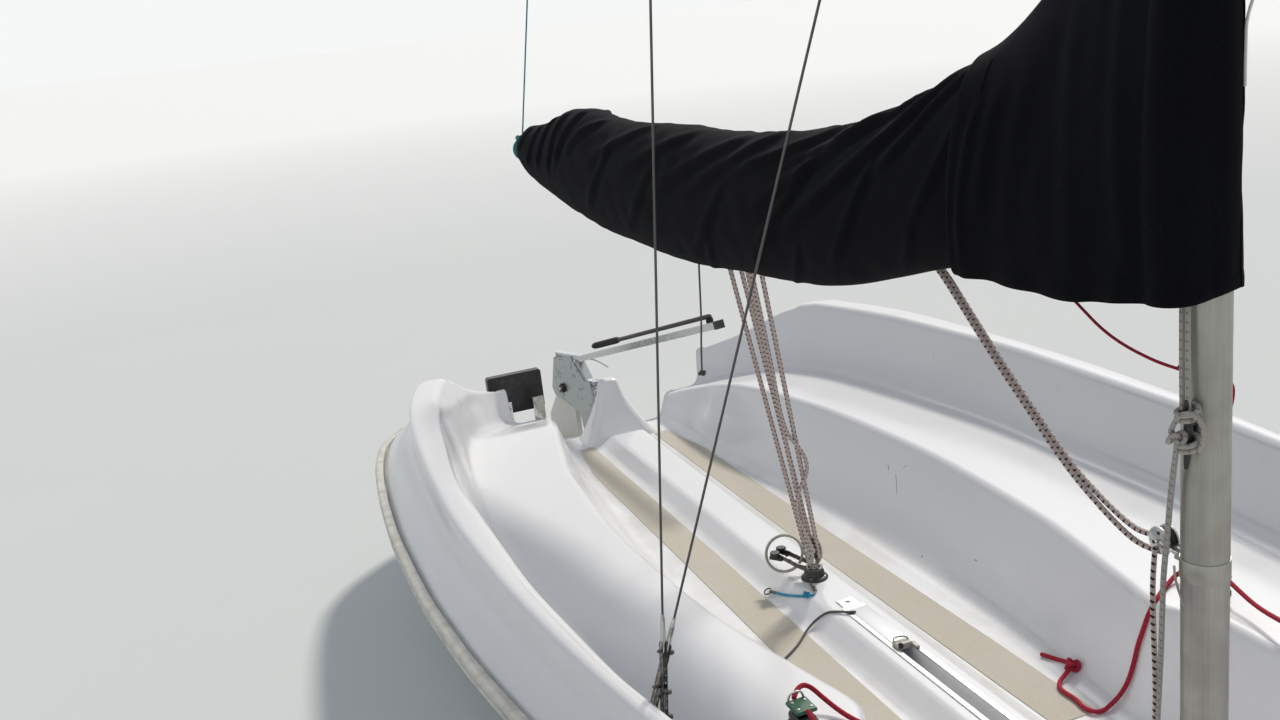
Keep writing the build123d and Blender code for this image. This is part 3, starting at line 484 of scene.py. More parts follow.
def surface(name, colours, wear=None, grain=None, stretch=(1, 1, 1), fine=None, roughness=0.5, depth=0,
        **sockets):
    """A surface whose first two colours a grain mixes, worn to the last colour in patches. Wear is the scale
    and detail of the patches' noise, where on it they start and end, and their strength; grain and fine are
    the scale and detail of a noise. Stretch pulls the grain, or the patches where there is no grain.
    Roughness is one value, or where on the patches' or the grain's noise it starts and ends and its values
    there. The relief, of that depth in metres, follows fine, or else the grain, or else the patches."""
    material, tree = new_material(name)
    where = add(tree, "TexCoord", out="Object")
    pulled = add(tree, "Mapping", {"Vector": where, "Scale": stretch})
    colour = colours[0]
    if grain:
        height = source = add(tree, "TexNoise", {"Vector": pulled, "Scale": grain[0], "Detail": grain[1]})
        colour = add(tree, "Mix", {0: source, 6: colour, 7: colours[1]}, **COLOUR_MIX)
    if wear:
        scale, detail, start, end, strength = wear
        source = add(tree, "TexNoise", {"Vector": where if grain else pulled, "Scale": scale,
            "Detail": detail})
        mask = add(tree, "MapRange", {0: source, 1: start, 2: end, 4: strength})
        colour = add(tree, "Mix", {0: mask, 6: colour, 7: colours[-1]}, **COLOUR_MIX)
        height = height if grain else mask
    if isinstance(roughness, tuple):
        roughness = add(tree, "MapRange", dict(enumerate((source, *roughness))))
    if fine:
        height = add(tree, "TexNoise", {"Vector": where, "Scale": fine[0], "Detail": fine[1]})
    if depth:
        sockets["Normal"] = add(tree, "Bump", {"Height": height, "Distance": depth, "Strength": 1.0})
    return shaded(material, Base_Color=colour, Roughness=roughness, **sockets)


def moulded(name, colour, rubbed, roughness):
    """Moulded nylon, acetal or rubber of one colour, paler where it is rubbed."""
    return surface(name, (colour, rubbed), (55, 6, 0.52, 0.75, 0.7), fine=(420, 2), roughness=roughness,
                   depth=0.0001, IOR=1.53)


def sail_cloth():
    """Woven polyester sail cloth: crisp white with a faint ripstop square of 8 mm."""
    material, tree = new_material("sail_cloth")
    where = add(tree, "TexCoord", out="Object")
    squares = add(tree, "TexBrick", {"Vector": where, "Scale": 125.0, "Mortar Size": 0.04,
        "Color1": "#E6E6E1", "Color2": "#E2E2DD", "Mortar": "#CFCFC9"})
    crumple = add(tree, "TexNoise", {"Vector": where, "Scale": 20.0, "Detail": 3.0})
    bump = add(tree, "Bump", {"Height": crumple, "Distance": 0.002, "Strength": 1.0})
    return shaded(material, Base_Color=squares, Roughness=0.55, IOR=1.5, Normal=bump)


def shroud_wire():
    """Nineteen-strand wire, 4 mm: the strands' lay of about 30 mm, with painted shade darkening its grooves.
    """
    material, tree = new_material("shroud_wire")
    run, turn = add(tree, "SeparateXYZ", {0: add(tree, "UVMap", uv_map="run")}, out=slice(2))
    turns = add(tree, "Math", {0: run, 1: 33.0, 2: turn}, operation="MULTIPLY_ADD")
    phase = add(tree, "Math", {0: turns, 1: 2 * math.pi * 6}, operation="MULTIPLY")
    strand = add(tree, "Math", {0: phase}, operation="SINE")
    tone = add(tree, "MapRange", {0: strand, 1: -1.0, 2: 0.6})
    # the colour darkens into the grooves between the strands: painted shade
    colour = add(tree, "Mix", {0: tone, 6: "#2E2E2D", 7: "#6F706E"}, **COLOUR_MIX)
    bump = add(tree, "Bump", {"Height": tone, "Distance": 0.0003, "Strength": 1.0})
    return shaded(material, Base_Color=colour, Roughness=0.4, Metallic=0.9, Normal=bump)


def black_canvas():
    """Acrylic canvas, black: dead matt with a little sheen, a plain weave of about 1 mm drawn at 2 mm, and
    greyer where sun and salt have bleached it along the top."""
    material, tree = new_material("black_canvas")
    threads = []
    for place in add(tree, "SeparateXYZ", {0: add(tree, "UVMap", uv_map="cloth")}, out=slice(2)):
        turn = add(tree, "Math", {0: place, 1: math.pi / 0.002}, operation="MULTIPLY")
        threads.append(add(tree, "Math", {0: turn}, operation="SINE"))
    weave = add(tree, "Math", {0: threads[0], 1: threads[1]}, operation="MULTIPLY")
    where = add(tree, "TexCoord", out="Object")
    salt = add(tree, "TexNoise", {"Vector": where, "Scale": 3.2, "Detail": 6.0})
    patches = add(tree, "MapRange", {0: salt, 1: 0.38, 2: 0.66})
    high = add(tree, "Attribute", out=2, attribute_name="bleach")
    grey = add(tree, "Math", {0: patches, 1: high}, operation="MULTIPLY")
    tone = add(tree, "MapRange", {0: weave, 1: -1.0})
    cloth = add(tree, "Mix", {0: tone, 6: "#08090B", 7: "#0E0F12"}, **COLOUR_MIX)
    colour = add(tree, "Mix", {0: grey, 6: cloth, 7: "#38373D"}, **COLOUR_MIX)
    bump = add(tree, "Bump", {"Height": weave, "Distance": 0.0003, "Strength": 1.0})
    return shaded(material, Base_Color=colour, Roughness=0.9, IOR=1.45, Specular_IOR_Level=0.1,
                  Sheen_Weight=0.04, Sheen_Roughness=0.5, Sheen_Tint="#8B90A0", Normal=bump)


def braid(name, base, fleck, lit_crown, flecks=0.5, plaits=8, pitch=0.014, share=0.26):
    """Braided rope: diagonal plaits from two crossed waves over the rope's own run, painted lighter on their
    crowns and darker between them as painted light and shade, and a coloured tracer in short flecks. Pitch is
    a plait's length along the rope in metres, share the tracer's part of it."""
    material, tree = new_material(name)
    run, turn = add(tree, "SeparateXYZ", {0: add(tree, "UVMap", uv_map="run")}, out=slice(2))
    strands, bars = [], []
    for hand, wide in ((1.0, share), (-1.0, 1.55 * share)):
        slant = add(tree, "Math", {0: turn, 1: hand}, operation="MULTIPLY")
        place = add(tree, "Math", {0: run, 1: 1 / pitch, 2: slant}, operation="MULTIPLY_ADD")
        phase = add(tree, "Math", {0: place, 1: math.pi * plaits}, operation="MULTIPLY")
        strands.append(add(tree, "Math", {0: phase}, operation="SINE"))
        step = add(tree, "Math", {0: place}, operation="FRACT")
        bars.append(add(tree, "MapRange", {0: step, 1: wide + 0.04, 2: wide - 0.04}))
    plait = add(tree, "Math", {0: strands[0], 1: strands[1]}, operation="MULTIPLY")
    shade = add(tree, "MapRange", {0: plait, 1: -1.0})
    # the plaits' crowns take the lighter colour and the gaps between them the base colour: painted light and
    # shade
    cover = add(tree, "Mix", {0: shade, 6: base, 7: lit_crown}, **COLOUR_MIX)
    tracer = add(tree, "Math", {0: bars[0], 1: bars[1]}, operation="MULTIPLY")
    faint = add(tree, "Math", {0: tracer, 1: flecks}, operation="MULTIPLY")
    colour = add(tree, "Mix", {0: faint, 6: cover, 7: fleck}, **COLOUR_MIX)
    bump = add(tree, "Bump", {"Height": shade, "Distance": 0.0006, "Strength": 1.0})
    return shaded(material, Base_Color=colour, Roughness=0.82, IOR=1.45, Normal=bump)


GELCOAT = white_gelcoat()
# extruded vinyl: an even satin off-white, dulled along its lips
VINYL = surface("rail_vinyl", ("#D3D2CB", "#B4B1A6"), (26, 6, 0.4, 0.75, 1), fine=(60, 3), roughness=0.52,
                depth=0.0004, IOR=1.52)
# non-skid sheet: sand-coloured resin with rubber grit of about 1.5 mm, drawn at 4 mm to show
GRIT = surface("grit_strip", ("#B8B1A2", "#CDC7BA", "#C6C2B8"), (5.5, 7, 0.42, 0.68, 0.7), (260, 2),
               roughness=0.85, depth=0.0012, IOR=1.5)
# anodised extrusion: soft grey with faint lines along its length and a dull bloom
SPAR = surface("spar_aluminium", ("#9A9993", "#B2B1AA", "#868580"), (12, 6, 0.45, 0.8, 0.6), (6, 4),
               (60, 60, 1.2), roughness=(0.3, 0.7, 0.36, 0.52), depth=0.00012, Metallic=0.85)
# rolled plate: cooler and duller than the spars, with handling marks
PLATE = surface("mill_aluminium", ("#9DA3A4", "#B6BABA", "#7F8586"), (45, 8, 0.56, 0.7, 1), (5, 5),
                (4, 30, 90), roughness=(0.56, 0.7, 0.34, 0.55), depth=0.0002, Metallic=0.8)
# bright dipped tube: clear grey, glossy, scratched along its run
TUBE = surface("bright_tube", ("#B4B8BA", "#D6D9DA"), None, (4, 5), (3, 60, 60),
               roughness=(0.3, 0.7, 0.22, 0.4), Metallic=0.9)
# stainless steel, polished and then salted: bright, with brown-grey tea staining
STEEL = surface("polished_steel", ("#C3C4C3", "#8D8981"), (70, 6, 0.5, 0.72, 1), fine=(300, 2),
                roughness=(0.5, 0.72, 0.2, 0.45), depth=0.00006, Metallic=1.0)
# stainless fittings painted a dark brown-grey, darker still in patches: painted shade for steel seen against
# the light
STEEL_IN_SHADE = surface("steel_painted_shade", ("#6E6C69", "#3E3B38"), (110, 6, 0.4, 0.68, 1), fine=(300, 2),
                     roughness=(0.4, 0.68, 0.34, 0.55), depth=0.00008, Metallic=0.9)
WIRE = shroud_wire()
CANVAS = black_canvas()
ACETAL = moulded("black_acetal", "#161617", "#3A3A3A", 0.42)
RUBBER = moulded("black_rubber", "#101011", "#2B2B2B", 0.7)
GREEN = moulded("green_nylon", "#14593B", "#2F7D5A", 0.4)
GREY_NYLON = moulded("grey_nylon", "#A9A69B", "#8B887E", 0.5)
# gelcoat of the foils: white gone a little yellow, with fine scratches along it
FOIL = surface("foil_gelcoat", ("#DEDCD2", "#BDB9AB"), (2, 6, 0.60, 0.80, 0.7), stretch=(90, 90, 3),
               roughness=0.34, depth=0.0002, IOR=1.5)
SAIL = sail_cloth()
SHEET_ROPE = braid("mainsheet_polyester", "#B5A19A", "#2C1D20", "#DCCFC9", 1.0, plaits=4, pitch=0.0125,
    share=0.40)
RED_ROPE = braid("jib_sheet_polyester", "#8E0F28", "#5A0A1C", "#C42744")
GREY_ROPE = braid("halyard_polyester", "#8E8A82", "#45423E", "#C6C2BA")
WHITE_ROPE = braid("lacing_polyester", "#C9C8C3", "#9A9993", "#ECEBE6", 0.2)
TEAL_ROPE = braid("topping_lift_polyester", "#1E7A80", "#0F4B52", "#3FA3A8")
BLUE_ROPE = braid("lanyard_polyester", "#1B7FA6", "#0F4F6E", "#4DB4D6", 0.4)
DARK_ROPE = braid("control_line_polyester", "#4A4A48", "#222222", "#6E6E6B")

FINISHES = (
    (STEEL, ("slot_trim", "board_pin", "mast_step", "chainplates", "mast_tangs", "stem_fitting",
             "gooseneck_bracket", "gooseneck_toggle", "gudgeons", "pintles", "motor_bracket")),
    (SPAR, ("mast", "spreaders", "boom")),
    (PLATE, ("boom_end_cap", "rudder_cheeks")),
    (ACETAL, ("masthead", "furler", "tiller_end_cap", "motor_pad")),
    (FOIL, ("centreboard", "rudder_blade")),
    (GRIT, ("floor_strips",)),
    (TUBE, ("tiller",)),
    (RUBBER, ("tiller_joint",)),
)
for finish, names in FINISHES:
    for name in names:
        for socket in nodes[name].material_slots:
            socket.material = finish


# Hull, cockpit and foredeck

# Half breadths by station, in metres: at the sheer and at heights 0.18, 0.04, -0.04, -0.10 and -0.13
HULL_STATIONS = (0, 0.1, 0.2, 0.3, 0.45, 0.7, 1.0, 1.35, 1.65, 2.0, 2.3, 2.65, 3.0, 3.25, 3.5, 3.75, 4.0, 4.2,
    4.35, 4.45, 4.55, 4.615)
SHEER_HALF = (0.420, 0.620, 0.746, 0.834, 0.908, 0.957, 0.989, 1.009, 1.012, 0.997, 0.967, 0.912, 0.837,
    0.773, 0.694, 0.598, 0.480, 0.367, 0.271, 0.201, 0.126, 0.075)
HULL_HALF = (
    (0.180, (0.400, 0.554, 0.658, 0.733, 0.805, 0.860, 0.902, 0.928, 0.931, 0.912, 0.874, 0.805, 0.714, 0.644,
             0.559, 0.458, 0.339, 0.227, 0.132, 0.064, 0, 0)),
    (0.040, (0.330, 0.461, 0.553, 0.621, 0.690, 0.750, 0.799, 0.829, 0.832, 0.809, 0.766, 0.689, 0.585, 0.509,
             0.422, 0.322, 0.208, 0.104, 0.025, 0, 0, 0)),
    (-0.040, (0, 0.280, 0.375, 0.446, 0.523, 0.594, 0.651, 0.687, 0.693, 0.671, 0.628, 0.547, 0.440, 0.358,
              0.267, 0.166, 0.054, 0, 0, 0, 0, 0)),
    (-0.100, (0, 0, 0, 0, 0.160, 0.325, 0.413, 0.477, 0.500, 0.489, 0.448, 0.361, 0.245, 0.145, 0.042, 0, 0,
              0, 0, 0, 0, 0)),
    (-0.130, (0, 0, 0, 0, 0, 0, 0, 0.140, 0.182, 0.186, 0.150, 0.070, 0, 0, 0, 0, 0, 0, 0, 0, 0, 0)),
)
KEEL_STATIONS = (0, 0.05, 0.1, 0.45, 1.1, 1.9, 2.82, 3.58, 4.085, 4.36, 4.515, 4.62, 4.678)
KEEL_HEIGHTS = (0.03, -0.01, -0.04, -0.100, -0.129, -0.130, -0.130, -0.100, -0.040, 0.040, 0.180, 0.330,
    0.480)

# Cockpit lines by station: half breadths of the floor's edge, its cove, the seat's inner edge, the seat's
# outer edge and the inside of the coaming, and the seat's height
COCKPIT_STATIONS = (0, 0.12, 0.25, 0.37, 0.5, 0.7, 1.0, 1.5, 2.0, 2.4, 2.53, 2.665, 2.9, 3.08, 3.17, 3.26)
FLOOR_EDGE = (0.200, 0.212, 0.226, 0.238, 0.250, 0.266, 0.290, 0.312, 0.318, 0.297, 0.285, 0.330, 0.330,
    0.328, 0.322, 0.310)
COVE_EDGE = (0.222, 0.240, 0.256, 0.270, 0.288, 0.318, 0.355, 0.388, 0.375, 0.330, 0.314, 0.362, 0.360, 0.356,
    0.350, 0.340)
SEAT_EDGE = (0.245, 0.268, 0.290, 0.312, 0.340, 0.388, 0.446, 0.477, 0.450, 0.380, 0.357, 0.411, 0.407, 0.400,
    0.393, 0.380)
SEAT_OUTER = (0.395, 0.470, 0.535, 0.590, 0.637, 0.689, 0.736, 0.780, 0.782, 0.757, 0.745, 0.722, 0.686,
    0.636, 0.590, 0.520)
COAMING_IN = (0.412, 0.535, 0.613, 0.668, 0.714, 0.763, 0.812, 0.860, 0.860, 0.836, 0.824, 0.802, 0.760,
    0.716, 0.680, 0.620)
SEAT_HEIGHT = (0.248, 0.290, 0.330, 0.362, 0.383, 0.392) + (0.393,) * 10

# Top outer edge of the coaming and foredeck by station
TOP_STATIONS = (0, 0.1, 0.2, 0.3, 0.37, 0.5, 0.7, 1.0, 1.35, 1.65, 2.0, 2.3, 2.65, 3.0, 3.25, 3.5, 3.75, 4.0,
    4.2, 4.35, 4.45, 4.55, 4.62, 4.678)
TOP_OUTER = (0.416, 0.570, 0.652, 0.712, 0.752, 0.798, 0.848, 0.889, 0.915, 0.925, 0.914, 0.889, 0.841, 0.771,
    0.706, 0.620, 0.514, 0.388, 0.268, 0.166, 0.104, 0.060, 0.036, 0.001)

FLOOR_Z = 0.150
CONSOLE_Z = 0.200
WALL_STATION = 3.235
NOSE_CENTRE = 4.602
NOSE_RADIUS = 0.076
# The front wall of the cockpit: distance forward and share of the rise, with a fillet at foot and head
WALL_STEPS = ((-0.060, 0), (-0.036, 0.012), (-0.020, 0.05), (-0.010, 0.12), (-0.004, 0.22), (0, 0.40),
    (0.004, 0.60), (0.008, 0.78), (0.014, 0.90), (0.024, 0.965), (0.038, 0.992), (0.060, 1))
# How the outer face of the coaming runs from the sheer: share of the way in, share of the way up
COAMING_FLANK = ((0.93, 0.62), (0.62, 0.375), (0.20, 0.17))
# How far from each corner of the section, floor to keel, its rounding starts, and the steps of a rounding
CORNER_REACH = (0.010, 0.012, 0.022, 0.038, 0.045, 0.020, 0.050, 0.024, 0.018, 0.03, 0.03, 0.02, 0.004, 0.01,
    0.15, 0.15, 0.15, 0.15, 0.15)
CORNER_STEPS = 6
STERN_EDGE = 0.008


def sheer_z(station):
    """Height of the sheer, a straight line that rises forward."""
    return 0.392 + 0.0218 * station


def sheer_half(station):
    """The sheer in plan: the table's curve, closed by the round of the nose."""
    nose = np.sqrt(np.clip(NOSE_RADIUS**2 - (station - NOSE_CENTRE) ** 2, 0, None))
    return np.where(station > 4.615, nose, curve_through(HULL_STATIONS, SHEER_HALF, station))


def coaming_z(station):
    """Height of the coaming's top: a straight slope up from the stern, eased into a nearly level line, and
    drawn down to the sheer at the nose."""
    top = 0.615 - 0.0066 * station
    quarter = 0.392 + 0.223 * station / 0.37
    gap = quarter - top
    top = top + np.minimum(gap, 0) - 0.02 * np.exp(-((gap / 0.045) ** 2))
    drop = curve_through((4.35, 4.5, 4.584, 4.662, 4.678), (0.2, 0.12, 0.075, 0.035, 0.004), station)
    return np.minimum(top, sheer_z(station) + drop)


def rounded(lines):
    """Cross sections with their corners rounded: lines is (stations, corners, 2), and each corner becomes a
    quadratic curve between the two points at its reach from it, or less where the neighbours are near."""
    here, before, after = lines[:, 1:-1], lines[:, :-2], lines[:, 2:]
    reach = np.array(CORNER_REACH)[None, :, None]
    ends = []
    for way in (before - here, after - here):
        length = np.linalg.norm(way, axis=2, keepdims=True) + 1e-9
        ends.append((here + way / length * np.minimum(reach, 0.48 * length))[:, :, None])
    t = np.linspace(0, 1, CORNER_STEPS)[None, None, :, None]
    arcs = (1 - t) ** 2 * ends[0] + 2 * t * (1 - t) * here[:, :, None] + t * t * ends[1]
    return np.concatenate([lines[:, :1], arcs.reshape(len(lines), -1, 2), lines[:, -1:]], axis=1)


def hull_shell():
    """The whole moulding as one closed skin. Each station has one section that runs from the centreline of
    the floor over the console, floor, seat, coaming and sheer down to the keel. Its corners follow the tables
    above along the boat, and at the cockpit's front wall the inner ones rise to the foredeck."""
    wall = np.array(WALL_STEPS)
    nose = NOSE_CENTRE + NOSE_RADIUS * np.cos(np.radians(np.linspace(78, 4, 12)))
    aft_rows = np.concatenate([np.linspace(0, 0.5, 34), np.linspace(0.52, WALL_STATION - 0.07, 100)])
    fore_rows = np.concatenate([np.linspace(WALL_STATION + 0.08, 4.4, 36), np.linspace(4.43, 4.6, 10), nose])
    station = np.concatenate([aft_rows, WALL_STATION + wall[:, 0], fore_rows])
    rise = np.concatenate([np.zeros(len(aft_rows)), wall[:, 1], np.ones(len(fore_rows))])
    last = len(aft_rows) - 1

    def cockpit(values):
        return curve_through(COCKPIT_STATIONS, values, np.minimum(station, COCKPIT_STATIONS[-1]))

    half = sheer_half(station)
    rim = sheer_z(station)
    top = coaming_z(station)
    top_out = np.minimum(curve_through(TOP_STATIONS, TOP_OUTER, station), 0.96 * half)
    seat = cockpit(SEAT_HEIGHT)
    keel = np.minimum(curve_through(KEEL_STATIONS, KEEL_HEIGHTS, station), rim - 0.03)
    console = FLOOR_Z + (CONSOLE_Z - FLOOR_Z) * ease((station - 0.10) / 0.12)
    flat = np.ones_like(station)
    coaming_in = np.minimum(cockpit(COAMING_IN), top_out - 0.010)
    seat_out = np.minimum(cockpit(SEAT_OUTER), coaming_in - 0.008)
    inside = (
        (0 * flat, console),
        (0.028 * flat, console),
        (0.058 * flat, console),
        (0.104 * flat, FLOOR_Z * flat),
        (cockpit(FLOOR_EDGE), FLOOR_Z * flat),
        (cockpit(COVE_EDGE), FLOOR_Z + (seat - FLOOR_Z) * 0.268),
        (cockpit(SEAT_EDGE), seat),
        (seat_out, seat),
        (coaming_in, top),
    )
    crown = 0.020 * np.sin(np.pi * np.clip((station - WALL_STATION) / 1.0, 0, 1))
    corners = []
    for y, z in inside:
        share = y[last] / top_out[last]
        deck_z = top + crown * (1 - share**2)
        corners.append((y + (share * top_out - y) * rise, z + (deck_z - z) * rise))
    corners.append((top_out, top))
    corners += [(half + (top_out - half) * inward, rim + (top - rim) * upward)
        for inward, upward in COAMING_FLANK]
    corners += [(half, rim), (half * 0.997, rim - 0.02)]
    for z, table in HULL_HALF:
        breadth = np.minimum(curve_through(HULL_STATIONS, table, station), half)
        corners.append((breadth, np.clip(z, keel, rim - 0.025)))
    corners.append((0 * flat, keel))
    section = rounded(np.stack([np.stack(corner, -1) for corner in corners], 1))
    columns = section.shape[1]
    x = TRANSOM_X + station[:, None] * np.ones(columns)
    # the front wall is bowed, its sides aft of its middle, over the corners from floor to coaming top
    bow = 0.05 * (np.minimum(section[..., 0], 0.75) / 0.72) ** 3
    inner = np.arange(columns) < 1 + (len(inside) - 1) * CORNER_STEPS + 3
    x = x - bow * np.exp(-(((station - WALL_STATION) / 0.30) ** 2))[:, None] * inner
    # the edge round the stern: rows drawn in along the section's own normal as they go aft
    along = np.gradient(section[0], axis=0)
    normal = np.stack([along[:, 1], -along[:, 0]], -1)
    normal /= np.linalg.norm(normal, axis=1, keepdims=True) + 1e-9
    turn = np.radians((90, 60, 30))
    stern = np.stack([section[0] - normal * STERN_EDGE * (1 - math.cos(a)) for a in turn])
    stern[..., 0] = np.clip(stern[..., 0], 0, None)
    stern_x = [np.full(columns, TRANSOM_X + STERN_EDGE * (1 - math.sin(a))) for a in turn]
    section = np.concatenate([stern, section[1:]])
    port = np.concatenate([np.concatenate([np.stack(stern_x), x[1:]])[..., None], section], -1)
    ring = np.concatenate([port, port[:, ::-1] * (1, -1, 1)], axis=1)
    return ring.reshape(-1, 3), skin_faces(*ring.shape[:2])


def moulded_block(foot, head, low, high, power, corner=0.03, rim=0.012):
    """A block that grows out of the floor: rounded rectangles from foot to head, each (station, length,
    width), that change with (1 - height) to a power, and the rim of the top rounded."""
    heights = np.concatenate([np.linspace(0, 0.94, 12),
        1 - (1 - np.sin(np.radians((20, 45, 70, 90)))) * 0.06])
    points = []
    for t in heights:
        draw = rim * (1 - math.sqrt(max(0, 1 - ((t - 0.94) / 0.06) ** 2))) if t > 0.94 else 0
        station, length, width = (h + (f - h) * (1 - t) ** power for f, h in zip(foot, head))
        length, width = length / 2 - draw, width / 2 - draw
        ring = rounded_square(length, width, min(corner, 0.6 * width), 5)
        z = low + (high - low) * t
        points.append(np.column_stack([TRANSOM_X + station + ring[:, 0], ring[:, 1], np.full(len(ring), z)]))
    return np.concatenate(points), skin_faces(len(points), len(points[0]))


def board_slot():
    """The open case of the board: a round-ended prism."""
    aft, fore, width = 1.880, 2.765, 0.037
    a = np.linspace(-np.pi / 2, np.pi / 2, 9)
    r = width / 2
    outline = np.concatenate([
        np.column_stack([TRANSOM_X + fore - r + r * np.cos(a), r * np.sin(a)]),
        np.column_stack([TRANSOM_X + aft + r - r * np.cos(a), -r * np.sin(a)]),
    ])
    return stacked(outline, ((1, -0.4), (1, 0.5)))


def cut_away(piece, tool):
    """The piece with the tool's space taken out, as a finished mesh."""
    change = piece.modifiers.new("cut", "BOOLEAN")
    change.operation = "DIFFERENCE"
    change.solver = "EXACT"
    change.object = tool
    settled(piece)
    bpy.data.objects.remove(tool)


# Upper half of the rail's profile, from its groove: distance out from the sheer and height above it
RAIL_HALF = ((0.0180, 0.0012), (0.0222, 0.0028), (0.0250, 0.0062), (0.0252, 0.0110), (0.0225, 0.015),
    (0.016, 0.0168), (0.001, 0.0165))


def rail_strake():
    """The vinyl strake along the sheer: a profile with two lips and a groove between them, carried round the
    sheer's plan from one quarter over the nose to the other."""
    side = np.linspace(0.062, 4.6, 170)
    nose = np.radians(np.linspace(78, 0, 9))
    plan = np.concatenate([
        np.column_stack([side, sheer_half(side)]),
        np.column_stack([NOSE_CENTRE + NOSE_RADIUS * np.cos(nose), NOSE_RADIUS * np.sin(nose)]),
    ])
    plan = np.concatenate([plan, plan[-2::-1] * (1, -1)])
    way = np.gradient(plan, axis=0)
    way /= np.linalg.norm(way, axis=1, keepdims=True)
    half = np.array(RAIL_HALF)
    profile = np.concatenate([half[::-1] * (1, -1), half])
    x = TRANSOM_X + plan[:, :1] - way[:, 1:] * profile[:, 0]
    y = plan[:, 1:] + way[:, :1] * profile[:, 0]
    z = sheer_z(plan[:, :1]) + profile[:, 1]
    return np.stack([x, y, z], -1).reshape(-1, 3), skin_faces(*x.shape)


hull_skin = make_piece("hull_skin", *hull_shell(), GELCOAT, "hull", merge=2e-5)
cut_away(hull_skin, make_piece("slot_tool", *board_slot(), GELCOAT, "hull", smooth=False))
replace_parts(hull_skin, "hull_moulding", "deck_moulding")

blocks = joined([
    moulded_block((0.080, 0.15, 0.30), (0.032, 0.055, 0.072), 0.135, 0.365, 1.5),
    moulded_block((3.033, 0.34, 0.29), (3.033, 0.27, 0.205), 0.135, 0.291, 1.6, corner=0.05),
])
make_piece("floor_blocks", *blocks, GELCOAT, "hull")

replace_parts(make_piece("rail_strake", *rail_strake(), VINYL, "hull", sharp=50), "rub_rail")


# Canvas over the boom

GOOSENECK = np.array((0.755, 0.0, 1.330))
BOOM_END = np.array((-1.965, -0.264, 1.289))
MAST_X = 0.833
MAST_RADIUS = 0.036
CLOTH_THICKNESS = 0.0016
# Flat depth of one side of the cover from its ridge to its edge
COVER_DEPTH = 0.42
# Cover along the boom: distance aft of the gooseneck, low and high from the boom's axis, half width
COVER_ROWS = (
    (0.330, -0.122, 0.252, 0.080), (0.440, -0.136, 0.212, 0.086), (0.542, -0.156, 0.172, 0.090),
    (0.657, -0.184, 0.144, 0.094), (0.830, -0.222, 0.110, 0.098), (0.967, -0.238, 0.096, 0.101),
    (1.199, -0.244, 0.090, 0.103), (1.450, -0.256, 0.095, 0.103), (1.749, -0.240, 0.103, 0.101),
    (1.930, -0.225, 0.110, 0.097), (2.100, -0.204, 0.136, 0.090), (2.220, -0.182, 0.134, 0.085),
    (2.338, -0.156, 0.114, 0.078), (2.480, -0.118, 0.086, 0.068), (2.590, -0.080, 0.078, 0.058),
    (2.655, -0.050, 0.054, 0.046),
)
# Front of the cover: distance aft of the gooseneck, hem and ridge from the boom's axis, half width at the hem
BOOT_ROWS = (
    (-0.032, -0.124, 0.722, 0.094), (0.020, -0.128, 0.608, 0.098), (0.060, -0.132, 0.530, 0.101),
    (0.100, -0.136, 0.466, 0.103), (0.150, -0.135, 0.405, 0.105), (0.200, -0.133, 0.357, 0.105),
    (0.244, -0.131, 0.323, 0.104), (0.294, -0.130, 0.287, 0.103), (0.344, -0.129, 0.258, 0.101),
    (0.385, -0.128, 0.243, 0.099),
)
# Creases of the cover's starboard side: distance aft and share down from the ridge at each end in metres,
# then depth and width in millimetres
COVER_CREASES = (
    (0.34, 0.08, 0.62, 0.42, 7.5, 11), (0.36, 0.03, 0.98, 0.60, 10, 13), (0.44, 0.02, 0.90, 0.26, 8, 11),
    (0.34, 0.26, 0.52, 0.66, 5, 12), (0.56, 0.03, 1.04, 0.46, 9, 13), (0.60, 0.30, 0.80, 0.78, 5.5, 13),
    (0.74, 0.03, 1.16, 0.34, 8, 12), (0.80, 0.20, 1.10, 0.74, 7, 14), (0.96, 0.03, 1.36, 0.44, 7.5, 14),
    (1.10, 0.05, 1.58, 0.50, 7, 15), (1.16, 0.34, 1.44, 0.86, 6, 14), (1.34, 0.04, 1.80, 0.46, 6, 16),
    (1.52, 0.28, 1.80, 0.82, 5.5, 14), (1.60, 0.04, 1.98, 0.40, 6.5, 14), (1.80, 0.20, 2.02, 0.70, 6, 13),
    (1.92, 0.03, 2.14, 0.42, 7.5, 12), (2.06, 0.02, 2.24, 0.52, 8.5, 11), (2.18, 0.03, 2.32, 0.60, 8, 10),
    (2.30, 0.02, 2.42, 0.56, 8, 10), (2.42, 0.02, 2.52, 0.60, 7, 9), (2.53, 0.03, 2.60, 0.50, 6, 9),
    (0.50, 0.62, 0.62, 0.96, 4.5, 12), (0.88, 0.62, 1.02, 0.97, 6, 13), (1.28, 0.64, 1.40, 0.98, 5, 13),
)
# Creases of the boot's starboard side: distance aft and height above the boom's axis at each end, then as
# above
BOOT_CREASES = (
    (0.335, 0.20, 0.362, -0.12, 4, 10), (0.290, 0.22, 0.318, -0.02, 3.5, 14),
    (0.235, 0.26, 0.250, -0.06, 3, 20), (0.150, 0.36, 0.090, -0.12, 3.2, 22),
    (0.040, 0.50, 0.000, -0.10, 4, 18), (0.185, 0.10, 0.170, -0.12, 2.4, 24),
)


def boom_frame():
    """Unit vectors aft along the boom, to port and up from it."""
    aft = (BOOM_END - GOOSENECK) / np.linalg.norm(BOOM_END - GOOSENECK)
    port = np.cross(aft, (0, 0, 1.0))
    port *= np.sign(port[1])
    port /= np.linalg.norm(port)
    up = np.cross(port, aft)
    return aft, port, up * np.sign(up[2])


BOOM_AFT, BOOM_PORT, BOOM_UP = boom_frame()


def on_boom(distance, side, height):
    """A point by its distance aft of the gooseneck along the boom, to port of it and above its axis."""
    distance, side, height = (np.asarray(v, float)[..., None] for v in (distance, side, height))
    return GOOSENECK + distance * BOOM_AFT + side * BOOM_PORT + height * BOOM_UP


